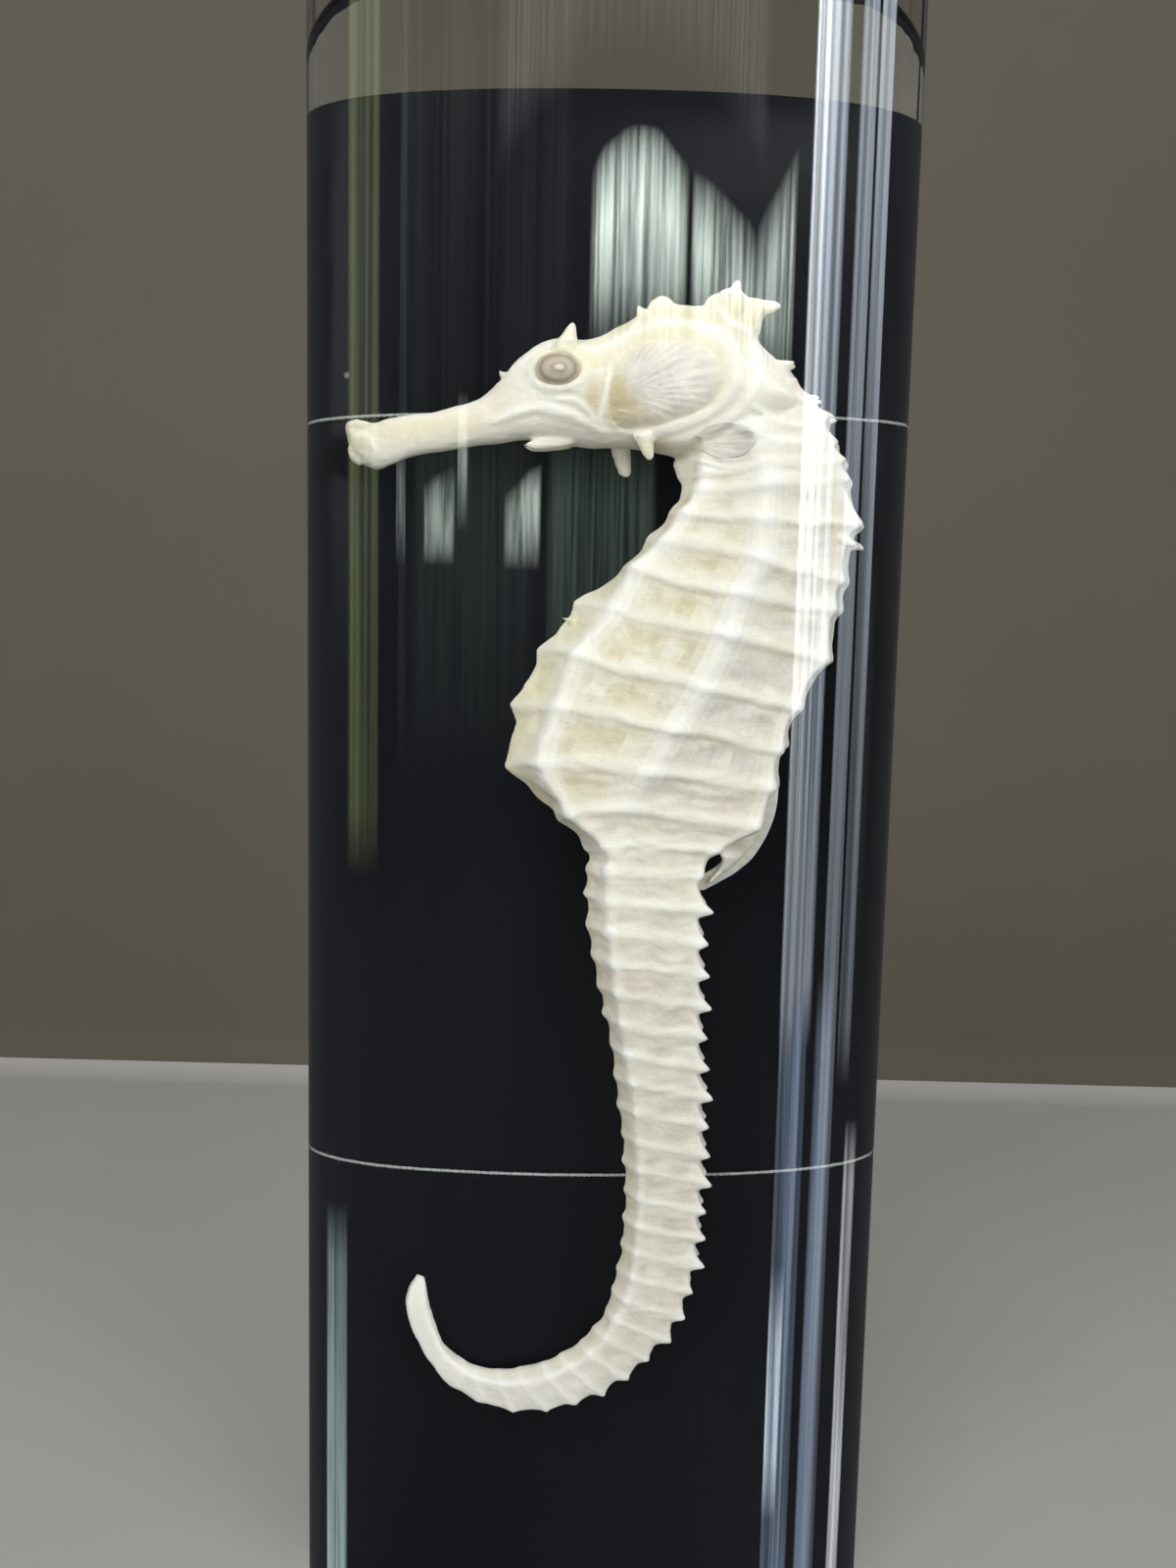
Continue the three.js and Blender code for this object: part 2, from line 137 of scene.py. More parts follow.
def mesh_object(name, vertices, faces):
    """A new object from vertices in millimetres and a list of faces."""
    mesh = bpy.data.meshes.new(name)
    mesh.from_pydata((np.asarray(vertices) * MM).tolist(), [], faces)
    mesh.validate()
    mesh.update()
    shade_smooth(mesh)
    obj = bpy.data.objects.new(name, mesh)
    bpy.context.scene.collection.objects.link(obj)
    return obj


def grid_faces(rows, columns, start=0):
    """Faces of a closed tube: rows of vertices, each row a ring, with a flat cap on each end."""
    row, column = np.meshgrid(np.arange(rows - 1), np.arange(columns), indexing="ij")
    a = start + row * columns + column
    b = start + row * columns + (column + 1) % columns
    quads = np.stack([a, b, b + columns, a + columns], -1).reshape(-1, 4)
    caps = [
        list(range(start + columns - 1, start - 1, -1)),
        list(range(start + (rows - 1) * columns, start + rows * columns)),
    ]
    return quads.tolist() + caps


class Shell:
    """Collects closed tubes, cones and blobs as one set of vertices and faces."""

    def __init__(self):
        self.vertices = []
        self.faces = []
        self.count = 0

    def add_rings(self, rings):
        rings = np.asarray(rings, float)
        rows, columns = rings.shape[:2]
        self.vertices.append(rings.reshape(-1, 3))
        self.faces += grid_faces(rows, columns, self.count)
        self.count += rows * columns

    def add_tube(self, path, radii, sides=10):
        """A round tube along path, with a radius at each point."""
        self.add_rings(tube_rings(path, radii, sides))

    def add_spine(self, root, tip, radius, bend=(0, 0, 0), steps=9, power=0.8):
        """A blunt, slightly bent spine that narrows from root to tip."""
        root, tip = np.asarray(root, float), np.asarray(tip, float)
        t = np.linspace(0, 1, steps)
        path = root + (tip - root) * t[:, None] + np.asarray(bend) * (t * (1 - t) * 4)[:, None]
        radii = radius * ((1 - t) ** power * 0.86 + 0.14)
        radii[-1] *= 0.5
        self.add_tube(path, radii, 12)

    def object(self, name):
        return mesh_object(name, np.concatenate(self.vertices), self.faces)


def tube_rings(path, radii, sides=10):
    """Rings of points round a path; each ring faces along it and none is turned against the last."""
    path = np.asarray(path, float)
    tangent = unit(np.gradient(path, axis=0))
    normal = np.cross(tangent[0], [0.3, 1, 0.2])
    normals = []
    for direction in tangent:
        normal = normal - direction * normal.dot(direction)
        normal /= np.linalg.norm(normal)
        normals.append(normal)
    normals = np.array(normals)
    binormals = np.cross(tangent, normals)
    angle = full_turn(sides)
    radii = np.broadcast_to(np.asarray(radii, float), len(path))
    ring = (
        normals[:, None] * np.cos(angle)[None, :, None]
        + binormals[:, None] * np.sin(angle)[None, :, None]
    )
    return path[:, None] + ring * radii[:, None, None]


GUARD = 0.3


def guarded(profile):
    """The profile with a point close to each end of a long step, so that its middle is shaded flat."""
    points = [profile[0]]
    for a, b in zip(profile, profile[1:]):
        length = math.dist(a, b)
        if length > 4 * GUARD:
            for t in (GUARD / length, 1 - GUARD / length):
                points.append((a[0] + (b[0] - a[0]) * t, a[1] + (b[1] - a[1]) * t))
        points.append(b)
    return points


def lathe(name, profile, segments=256, ripple=None):
    """A solid of revolution about the Z axis. The profile runs from the axis back to the axis."""
    angle = full_turn(segments)
    vertices, rows, faces = [], [], []
    for r, z in guarded(profile):
        if r < 1e-6:
            rows.append([len(vertices)])
            vertices.append((0.0, 0.0, z))
            continue
        radius = r + (ripple(angle, r) if ripple else 0)
        rows.append(list(range(len(vertices), len(vertices) + segments)))
        vertices += list(zip(radius * np.cos(angle), radius * np.sin(angle), np.full(segments, z)))
    for lower, upper in zip(rows, rows[1:]):
        for i in range(segments):
            j = (i + 1) % segments
            if len(lower) == 1:
                faces.append((lower[0], upper[j], upper[i]))
            elif len(upper) == 1:
                faces.append((lower[i], lower[j], upper[0]))
            else:
                faces.append((lower[i], lower[j], upper[j], upper[i]))
    return mesh_object(name, vertices, faces)


def arc(r, z, radius, start, end, steps=8):
    """Points of an arc in a lathe profile, between two angles in degrees."""
    angles = np.radians(np.linspace(start, end, steps + 1))
    return [(r + radius * math.cos(a), z + radius * math.sin(a)) for a in angles]


def float_attribute(obj, name, values):
    attribute = obj.data.attributes.new(name, "FLOAT", "POINT")
    attribute.data.foreach_set("value", np.asarray(values, np.float32))


# ---------------------------------------------------------------- shader helpers
class Shader:
    """A short way to write a node material, or the nodes of a light."""

    def __init__(self, name, light=None):
        self.owner = light or bpy.data.materials.new(name)
        self.owner.use_nodes = True
        self.tree = self.owner.node_tree
        self.tree.nodes.clear()
        self.output = self.node("ShaderNodeOutputLight" if light else "ShaderNodeOutputMaterial")

    def node(self, kind, inputs=None, **settings):
        made = self.tree.nodes.new(kind)
        for key, value in settings.items():
            setattr(made, key, value)
        for key, value in (inputs or {}).items():
            self.set(made.inputs[key], value)
        return made

    def set(self, socket, value):
        if isinstance(value, bpy.types.NodeSocket):
            self.tree.links.new(value, socket)
        elif isinstance(value, bpy.types.Node):
            self.tree.links.new(value.outputs[0], socket)
        else:
            socket.default_value = value

    def attribute(self, name):
        return self.node("ShaderNodeAttribute", attribute_name=name).outputs["Fac"]

    def position(self):
        return self.node("ShaderNodeTexCoord").outputs["Object"]

    def noise(self, scale, detail=3.0, roughness=0.55, vector=None, distortion=0.0):
        return self.node(
            "ShaderNodeTexNoise",
            {
                "Vector": vector or self.position(),
                "Scale": scale,
                "Detail": detail,
                "Roughness": roughness,
                "Distortion": distortion,
            },
        ).outputs["Fac"]

    def stretched(self, x, y, z):
        return self.node(
            "ShaderNodeMapping", {"Vector": self.position(), "Scale": (x, y, z)}
        ).outputs["Vector"]

    def math(self, operation, a, b=0.0):
        return self.node("ShaderNodeMath", {0: a, 1: b}, operation=operation).outputs[0]

    def times(self, a, b):
        return self.math("MULTIPLY", a, b)

    def span(self, value, low, high, to_low=0.0, to_high=1.0):
        return self.node(
            "ShaderNodeMapRange",
            {"Value": value, "From Min": low, "From Max": high, "To Min": to_low, "To Max": to_high},
            clamp=True,
        ).outputs["Result"]

    def mix(self, factor, a, b):
        made = self.node("ShaderNodeMix", data_type="RGBA")
        self.set(made.inputs[0], factor)
        self.set(made.inputs[6], a if isinstance(a, bpy.types.NodeSocket) else (*a, 1.0))
        self.set(made.inputs[7], b if isinstance(b, bpy.types.NodeSocket) else (*b, 1.0))
        return made.outputs[2]

    def bump(self, height, distance, strength=1.0):
        return self.node(
            "ShaderNodeBump", {"Height": height, "Distance": distance, "Strength": strength}
        ).outputs["Normal"]

    def principled(self, **inputs):
        names = {key.replace("_", " ").title().replace("Ior", "IOR"): v for key, v in inputs.items()}
        return self.node("ShaderNodeBsdfPrincipled", names).outputs[0]

    def finish(self, surface):
        self.set(self.output.inputs["Surface"], surface)
        return self.owner


def clear_material(name, kind, ior, tint, smudge):
    """Clear glass or fluid. Light that travels straight to a surface passes it without bending."""
    s = Shader(name)
    marks = s.noise(90.0, 4.0, vector=s.stretched(1.0, 1.0, 0.12))
    colour = s.mix(s.span(marks, 0.45, 0.8), tint, tuple(c * smudge for c in tint))
    clear = s.node(kind, {"Color": colour, "Roughness": 0.0, "IOR": ior})
    straight = s.node("ShaderNodeBsdfTransparent", {"Color": (*tint, 1.0)})
    shadow = s.node("ShaderNodeLightPath").outputs["Is Shadow Ray"]
    mixed = s.node("ShaderNodeMixShader", {"Fac": shadow})
    s.set(mixed.inputs[1], clear)
    s.set(mixed.inputs[2], straight)
    return s.finish(mixed)


GLASS_TINT = (0.985, 0.99, 0.987)
FLUID_TINT = (0.997, 0.996, 0.988)
jar_glass = clear_material("drawn glass", "ShaderNodeBsdfGlass", GLASS_IOR, GLASS_TINT, 0.985)
wet_glass = clear_material("wet glass", "ShaderNodeBsdfRefraction", GLASS_IOR, GLASS_TINT, 0.99)
lid_glass = clear_material("pressed glass", "ShaderNodeBsdfGlass", GLASS_IOR, GLASS_TINT, 0.98)
fluid_side = clear_material(
    "fluid at the wall", "ShaderNodeBsdfRefraction", FLUID_IOR, FLUID_TINT, 0.995
)
fluid_top = clear_material("fluid surface", "ShaderNodeBsdfGlass", FLUID_IOR, FLUID_TINT, 0.995)


def silicone_material():
    s = Shader("silicone")
    cloud = s.noise(260.0, 3.0)
    colour = s.mix(s.span(cloud, 0.35, 0.7), (0.62, 0.58, 0.47), (0.78, 0.75, 0.66))
    body = s.principled(
        base_color=colour,
        roughness=s.span(cloud, 0.3, 0.8, 0.32, 0.5),
        subsurface_weight=0.2,
        subsurface_scale=0.001,
        normal=s.bump(cloud, 0.00008),
    )
    return s.finish(body)


def acrylic_material():
    """Black sheet with a faint haze and a few pale flecks of dust settled on it."""
    s = Shader("black acrylic")
    haze = s.noise(60.0, 5.0, vector=s.stretched(1.6, 1.0, 0.22))
    flecks = s.node("ShaderNodeTexVoronoi", {"Vector": s.position(), "Scale": 210.0, "Randomness": 1.0})
    pick = s.math("GREATER_THAN", s.noise(47.0, 2.0), 0.655)
    dust = s.times(s.span(flecks.outputs["Distance"], 0.1, 0.05), pick)
    black = s.mix(s.span(haze, 0.35, 0.75), (0.0035, 0.0038, 0.006), (0.0075, 0.008, 0.012))
    colour = s.mix(dust, black, (0.22, 0.21, 0.19))
    roughness = s.span(haze, 0.3, 0.8, 0.16, 0.3)
    body = s.principled(
        base_color=colour, roughness=roughness, specular_ior_level=0.12, normal=s.bump(haze, 0.00003)
    )
    return s.finish(body)


def cotton_material():
    s = Shader("cotton thread")
    fibre = s.noise(5200.0, 2.0)
    colour = s.mix(s.span(fibre, 0.3, 0.75), (0.30, 0.32, 0.32), (0.62, 0.65, 0.65))
    body = s.principled(
        base_color=colour,
        roughness=0.9,
        specular_ior_level=0.15,
        sheen_weight=0.3,
        normal=s.bump(fibre, 0.00004),
    )
    return s.finish(body)


def skin_material():
    """Bleached skin over bony plates: ivory ridges, greyer sunken panels, yellow and brown tints, with
    painted highlight on the ridges and painted shade in the panels and grooves.
    """
    s = Shader("preserved skin")
    broad = s.noise(170.0, 3.0)
    cloud = s.noise(420.0, 4.0, 0.6, distortion=0.8)
    fine = s.noise(1100.0, 4.0, 0.65)
    grain = s.noise(3600.0, 3.0, 0.6)
    colour = s.mix(s.span(broad, 0.32, 0.68), (0.87, 0.845, 0.785), (0.78, 0.725, 0.62))
    sunk = s.mix(s.span(cloud, 0.3, 0.7), (0.50, 0.43, 0.27), (0.71, 0.65, 0.48))
    grey = s.mix(s.span(cloud, 0.32, 0.68), (0.63, 0.575, 0.56), (0.82, 0.775, 0.75))
    # The ridge and pale layers are partly the bone's own ivory and partly painted highlight on the raised
    # parts. The panel layer is partly the panels' own tone and partly painted shade in the hollows. The
    # brown layer is partly stains and partly painted shade in the grooves under the ring crests and in the
    # neck fold.
    layers = [
        ("panel", 0.9, sunk),
        ("lilac", 0.85, grey),
        ("yellow", 0.6, (0.80, 0.73, 0.46)),
        ("brown", 0.9, (0.50, 0.40, 0.20)),
        ("ridge", 0.7, (0.88, 0.85, 0.74)),
        ("pale", 0.8, (0.93, 0.915, 0.89)),
    ]
    for fact, strength, tint in layers:
        colour = s.mix(s.times(s.attribute(fact), strength), colour, tint)
    threads = s.noise(330.0, 4.0, 0.7, vector=s.stretched(1.0, 1.0, 2.6), distortion=1.5)
    colour = s.mix(s.span(threads, 0.55, 0.72, 0.0, 0.55), colour, (0.92, 0.90, 0.86))
    colour = s.mix(s.span(fine, 0.62, 0.8, 0.0, 0.22), colour, (0.56, 0.48, 0.34))
    height = s.math("ADD", s.times(fine, 0.6), s.times(grain, 0.2))
    height = s.math("ADD", height, s.times(threads, 0.6))
    body = s.principled(
        base_color=colour,
        roughness=s.span(broad, 0.3, 0.7, 0.45, 0.62),
        specular_ior_level=0.2,
        subsurface_weight=0.4,
        subsurface_radius=(1.0, 0.8, 0.6),
        subsurface_scale=0.001,
        normal=s.bump(height, 0.0002, 0.8),
    )
    return s.finish(body)


def fin_material(name, thin, thick, edge):
    """Thin membrane over pale rays."""
    s = Shader(name)
    ray, rim = s.attribute("ray"), s.attribute("rim")
    cloud = s.noise(700.0, 3.0)
    skin = s.mix(s.span(cloud, 0.3, 0.7), thin, thick)
    colour = s.mix(s.times(ray, 0.6), skin, tuple(c * 1.1 for c in thick))
    colour = s.mix(s.times(rim, 0.8), colour, edge)
    body = s.principled(
        base_color=colour,
        roughness=0.45,
        specular_ior_level=0.2,
        subsurface_weight=0.5,
        subsurface_radius=(1.0, 0.8, 0.6),
        subsurface_scale=0.0014,
        normal=s.bump(cloud, 0.00006),
    )
    return s.finish(body)


def eye_material():
    """Clouded lens in the middle, rings of brown and grey round it."""
    s = Shader("clouded eye")
    ring = s.attribute("ring")
    cloud = s.noise(1500.0, 3.0)
    shifted = s.math("ADD", ring, s.times(s.math("SUBTRACT", cloud, 0.5), 0.1))
    ramp = s.node("ShaderNodeValToRGB", {"Fac": shifted})
    stops = [
        (0.0, (0.84, 0.79, 0.70)),
        (0.13, (0.72, 0.64, 0.53)),
        (0.26, (0.42, 0.35, 0.29)),
        (0.40, (0.56, 0.49, 0.41)),
        (0.60, (0.50, 0.43, 0.35)),
        (0.76, (0.33, 0.27, 0.21)),
        (0.88, (0.52, 0.45, 0.35)),
        (1.0, (0.74, 0.68, 0.55)),
    ]
    elements = ramp.color_ramp.elements
    elements[0].position, elements[0].color = stops[0][0], (*stops[0][1], 1)
    elements[1].position, elements[1].color = stops[-1][0], (*stops[-1][1], 1)
    for at, colour in stops[1:-1]:
        elements.new(at).color = (*colour, 1)
    body = s.principled(
        base_color=ramp.outputs["Color"],
        roughness=s.span(cloud, 0.3, 0.7, 0.18, 0.3),
        specular_ior_level=0.4,
        subsurface_weight=0.3,
        subsurface_scale=0.0006,
    )
    return s.finish(body)


# ---------------------------------------------------------------- glass, seal and fluid
FLOOR = 8.0
FLOOR_FILLET = 2.5
FOOT_INNER, FOOT_OUTER, PUNT_DEPTH = 23.0, 31.5, 2.0
RIM_HEIGHT, RIM_FLARE, EDGE = 6.0, 6.0, 0.6
MENISCUS, MENISCUS_REACH, MENISCUS_FALL = 0.9, 0.09, 4.2
OVERLAP = 0.1
SEAL_GAP = 0.3
LID_THICKNESS, PLUG_GAP, LID_ROUNDING = 6.0, 0.8, 2.5
NECK_RADIUS, KNOB_RADIUS, KNOB_FLATNESS, KNOB_START = 6.5, 12.0, 0.75, -50
# Waves round the drawn tube, and the height of each.
DRAW_LINES = [(7, 0.010), (13, 0.006), (29, 0.004), (47, 0.0028), (71, 0.0022), (103, 0.0014)]


def draw_ripple(angle, radius):
    """The faint lengthwise waves of drawn tubing, in the straight wall only."""
    if radius not in (JAR_RADIUS, BORE):
        return 0
    phase = 1.7 if radius == BORE else 0.4
    return sum(size * np.sin(n * angle + phase * n) for n, size in DRAW_LINES)


def jar_profile():
    flare = JAR_HEIGHT - RIM_HEIGHT - RIM_FLARE
    step = RIM_RADIUS - JAR_RADIUS
    swell = [
        (JAR_RADIUS + step * (3 * t * t - 2 * t**3), flare + RIM_FLARE * t)
        for t in np.linspace(0, 1, 9)[1:-1]
    ]
    return [
        (0, PUNT_DEPTH),
        (FOOT_INNER * 0.3, PUNT_DEPTH * 0.97),
        (FOOT_INNER * 0.6, PUNT_DEPTH * 0.8),
        (FOOT_INNER * 0.88, PUNT_DEPTH * 0.35),
        (FOOT_INNER, 0.05),
        (FOOT_INNER + 1, 0),
        *arc(FOOT_OUTER, JAR_RADIUS - FOOT_OUTER, JAR_RADIUS - FOOT_OUTER, -90, 0, 10),
        (JAR_RADIUS, FLUID_LEVEL / 2),
        (JAR_RADIUS, flare),
        *swell,
        *arc(RIM_RADIUS - EDGE, flare + RIM_FLARE + EDGE, EDGE, -60, 0, 4),
        *arc(RIM_RADIUS - EDGE, JAR_HEIGHT - EDGE, EDGE, 0, 90, 5),
        *arc(BORE + EDGE, JAR_HEIGHT - EDGE, EDGE, 90, 180, 5),
        (BORE, FLUID_LEVEL + MENISCUS),
        (BORE, FLUID_LEVEL / 2),
        *arc(BORE - FLOOR_FILLET, FLOOR + FLOOR_FILLET, FLOOR_FILLET, 0, -90, 8),
        (0, FLOOR),
    ]


def fluid_profile():
    """The column reaches a little way into the wall, so that no film of air is left between them."""
    radius = BORE + OVERLAP
    bottom = FLOOR - OVERLAP
    climb = [
        (radius * (1 - MENISCUS_REACH * t), FLUID_LEVEL + MENISCUS * math.exp(-t * MENISCUS_FALL))
        for t in np.linspace(0, 1, 12)
    ]
    return [
        (0, bottom),
        *arc(radius - FLOOR_FILLET, bottom + FLOOR_FILLET, FLOOR_FILLET, -90, 0, 8),
        (radius, FLUID_LEVEL / 2),
        *climb,
        (radius * 0.6, FLUID_LEVEL),
        (0, FLUID_LEVEL),
    ]


def lid_profile():
    bottom, top_of_knob = lid_low[2], lid_high[2]
    plug = seal_high[2] + SEAL_GAP
    disc_top = plug + LID_THICKNESS
    plug_radius = BORE - PLUG_GAP
    neck = NECK_RADIUS
    knob_height = KNOB_RADIUS * KNOB_FLATNESS
    knob_centre = top_of_knob - knob_height
    ball = [
        (KNOB_RADIUS * math.cos(a), knob_centre + knob_height * math.sin(a))
        for a in np.radians(np.linspace(KNOB_START, 90, 28))
    ]
    start = ball[0]
    stem = [
        (neck * 1.9, disc_top),
        (neck * 1.5, disc_top + 0.5),
        (neck * 1.22, disc_top + 1.7),
        (neck * 1.06, disc_top + 3.2),
        (neck, disc_top + 5.0),
        ((neck + start[0]) / 2 - 0.35, (disc_top + 5.0 + start[1]) / 2 + 0.1),
    ]
    ball[-1] = (0, ball[-1][1])
    return [
        (0, bottom + 1.6),
        (plug_radius * 0.5, bottom + 1.45),
        (plug_radius * 0.75, bottom + 1.05),
        (plug_radius - 2.5, bottom + 0.08),
        *arc(plug_radius - 0.9, bottom + 0.9, 0.9, -90, 0, 6),
        (plug_radius, plug),
        *arc(RIM_RADIUS - EDGE, plug + EDGE, EDGE, -90, 0, 4),
        *arc(RIM_RADIUS - LID_ROUNDING, disc_top - LID_ROUNDING, LID_ROUNDING, 0, 90, 10),
        *stem,
        *ball,
    ]


def seal_profile():
    """A squeezed bead with rounded edges. It closes on itself instead of on the axis."""
    half = (seal_high[2] - seal_low[2]) / 2
    middle = seal_low[2] + half
    inner, outer = BORE + PLUG_GAP, seal_high[0]
    return [
        *arc(outer - half, middle, half, -90, 90, 8),
        *arc(inner + half, middle, half, 90, 270, 8),
    ]


def lathe_ring(name, profile):
    """A ring of revolution, very slightly out of round, as a squeezed bead is."""
    segments = 256
    angle = full_turn(segments)
    count = len(profile)
    profile = np.array(profile)
    wobble = 1 + 0.0012 * np.sin(5 * angle + 1) + 0.0008 * np.sin(11 * angle)
    r = profile[None, :, 0] * wobble[:, None]
    vertices = np.stack(
        [r * np.cos(angle)[:, None], r * np.sin(angle)[:, None], profile[None, :, 1] + 0 * r], -1
    )
    faces = [
        (a * count + b, ((a + 1) % segments) * count + b,
         ((a + 1) % segments) * count + (b + 1) % count, a * count + (b + 1) % count)
        for a in range(segments)
        for b in range(count)
    ]
    return mesh_object(name, vertices.reshape(-1, 3), faces)


def polygon_centres(obj):
    centres = np.zeros(len(obj.data.polygons) * 3)
    obj.data.polygons.foreach_get("center", centres)
    return centres.reshape(-1, 3).T / MM


def add_materials(obj, material, second, where):
    """Two materials; the second one is on the polygons where the mask holds."""
    obj.data.materials.append(material)
    obj.data.materials.append(second)
    obj.data.polygons.foreach_set("material_index", where.astype(np.int32))


def make_jar():
    jar = lathe("glass_jar", jar_profile(), 384, draw_ripple)
    x, y, z = polygon_centres(jar)
    wet = (np.hypot(x, y) < BORE + 0.05) & (z < FLUID_LEVEL + MENISCUS) & (z > FLOOR - 0.1)
    add_materials(jar, jar_glass, wet_glass, wet)
    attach(jar, "jar")
    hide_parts("jar_cylinder")


def make_fluid():
    fluid = lathe("fluid_column", fluid_profile(), 256)
    _, _, z = polygon_centres(fluid)
    add_materials(fluid, fluid_side, fluid_top, z > FLUID_LEVEL - 0.01)
    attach(fluid, "jar")
    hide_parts("preserving_fluid")
    return fluid


def make_lid():
    lid = lathe("glass_lid", lid_profile(), 192)
    lid.data.materials.append(lid_glass)
    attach(lid, "lid")
    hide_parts("lid")


def make_seal():
    seal = lathe_ring("silicone_seal", seal_profile())
    seal.data.materials.append(silicone_material())
    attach(seal, "jar")
    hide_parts("sealing_ring")


# ---------------------------------------------------------------- trunk and tail
# One row for each bony ring of the trunk: belly, lower ridge, side ridge and back (x, z each), half
# thickness, how far the belly bump and the back spine stand out.
TRUNK = [
    [(5.5, 27.0), (7.0, 27.0), (11.5, 27.6), (16.6, 29.0), 3.9, 0.0, 0.0],
    [(6.1, 22.3), (8.4, 22.5), (13.2, 23.4), (19.2, 25.2), 4.3, 0.0, 0.8],
    [(6.4, 19.8), (8.8, 20.3), (13.8, 21.2), (20.4, 22.6), 4.6, 0.0, 0.55],
    [(6.9, 18.6), (9.0, 18.8), (14.2, 19.8), (21.3, 20.7), 4.8, 0.0, 0.65],
    [(7.1, 17.1), (8.6, 17.0), (14.7, 17.8), (21.8, 18.9), 5.0, 0.0, 0.7],
    [(6.1, 15.0), (7.3, 14.6), (14.6, 14.1), (22.7, 14.5), 5.3, 0.0, 1.5],
    [(4.1, 12.3), (5.7, 11.9), (14.3, 10.1), (22.0, 8.4), 5.6, 0.0, 0.35],
    [(1.7, 8.9), (3.0, 8.7), (12.6, 6.2), (21.3, 5.1), 5.8, 0.0, 0.4],
    [(-2.0, 5.2), (1.2, 4.5), (11.4, 2.0), (20.4, 0.0), 6.1, 0.4, 0.8],
    [(-5.2, 0.0), (-2.2, -0.4), (9.3, -3.6), (17.9, -5.4), 6.3, 0.45, 0.3],
    [(-7.4, -5.8), (-3.8, -5.9), (7.1, -7.7), (16.6, -9.7), 6.2, 0.6, 0.3],
    [(-7.6, -12.8), (-5.2, -11.8), (4.9, -12.4), (15.8, -14.3), 5.8, 0.8, 0.0],
    [(-3.3, -18.2), (-2.4, -17.3), (3.2, -16.4), (14.5, -18.4), 5.0, 0.25, 0.0],
    [(-0.9, -21.2), (0.9, -20.8), (3.9, -20.4), (11.0, -21.0), 4.4, 0.2, 0.0],
    [(-0.8, -23.6), (1.1, -23.4), (4.8, -23.5), (9.3, -23.8), 4.2, 0.2, 0.3],
]

# The tail's two edges, inner and outer (x, z each), from its first ring to the tip.
TAIL = [
    [(-0.8, -26.3), (9.2, -27.4)],
    [(-0.5, -31.0), (9.3, -32.3)],
    [(0.4, -36.0), (9.4, -37.6)],
    [(1.5, -42.0), (9.6, -43.8)],
    [(2.4, -48.0), (9.9, -49.8)],
    [(3.1, -54.0), (10.0, -55.8)],
    [(3.4, -60.0), (9.9, -61.8)],
    [(3.3, -66.0), (9.6, -67.6)],
    [(2.7, -71.8), (8.4, -74.1)],
    [(1.2, -76.5), (6.1, -79.2)],
    [(-1.2, -80.0), (2.6, -83.4)],
    [(-4.6, -82.3), (-1.7, -86.2)],
    [(-8.0, -83.3), (-6.7, -87.4)],
    [(-10.9, -82.7), (-11.5, -85.9)],
    [(-13.1, -80.2), (-14.8, -82.1)],
    [(-14.2, -77.0), (-16.3, -77.7)],
    [(-14.6, -74.8), (-16.2, -75.0)],
    [(-14.9, -73.4), (-15.6, -73.2)],
]
TAIL_SPAN = np.array(
    [3.4, 3.4, 3.4, 3.4, 3.4, 3.35, 3.3, 3.1, 2.8, 2.6, 2.5, 2.4, 2.3, 2.1, 1.8, 1.6, 1.4, 1.2]
)
TRUNK_LAST = len(TRUNK) - 1
ROW_STEP = 0.27
CORNERS = 8
TAIL_DEPTH = 0.82
TAIL_CLEARANCE = 0.35
TAIL_SETTLED = 0.42
SPINES_FULL, SPINES_GONE = 0.42, 0.86
SPINE_LENGTH, SPINE_RHYTHM = 1.2, (1.25, 0.8, 1.0)
BUMP_LENGTH = 0.16


def station(belly, lower, side, back, thickness, y, tail):
    """The eight corners of one ring, from the belly round the near side to the back and on."""
    def at(point, offset):
        return (point[0], y + offset, point[1])

    belly, lower, side, back = (np.array(p, float) for p in (belly, lower, side, back))
    low = thickness * (0.66 + 0.34 * tail)
    high = thickness * (0.5 + 0.22 * tail)
    middle = back + (side - back) * 0.05
    return [
        at(belly, 0), at(lower, -low), at(side, -thickness), at(back, -high),
        at(middle, 0), at(back, high), at(side, thickness), at(lower, low),
    ]


def tail_rings():
    """Tail edges at each ring, spaced by the local pitch along the centre line."""
    fine = np.linspace(0, len(TAIL) - 1, 800)
    edges = spline(np.array(TAIL), fine)
    centre = edges.mean(1)
    step = np.linalg.norm(np.diff(centre, axis=0), axis=1)
    pitch = np.interp(fine, np.arange(len(TAIL)), TAIL_SPAN)
    phase = np.concatenate([[0], np.cumsum(step / pitch[1:])])
    count = int(phase[-1])
    place = np.interp(np.arange(count + 1) * phase[-1] / count, phase, fine)
    return spline(np.array(TAIL), place)


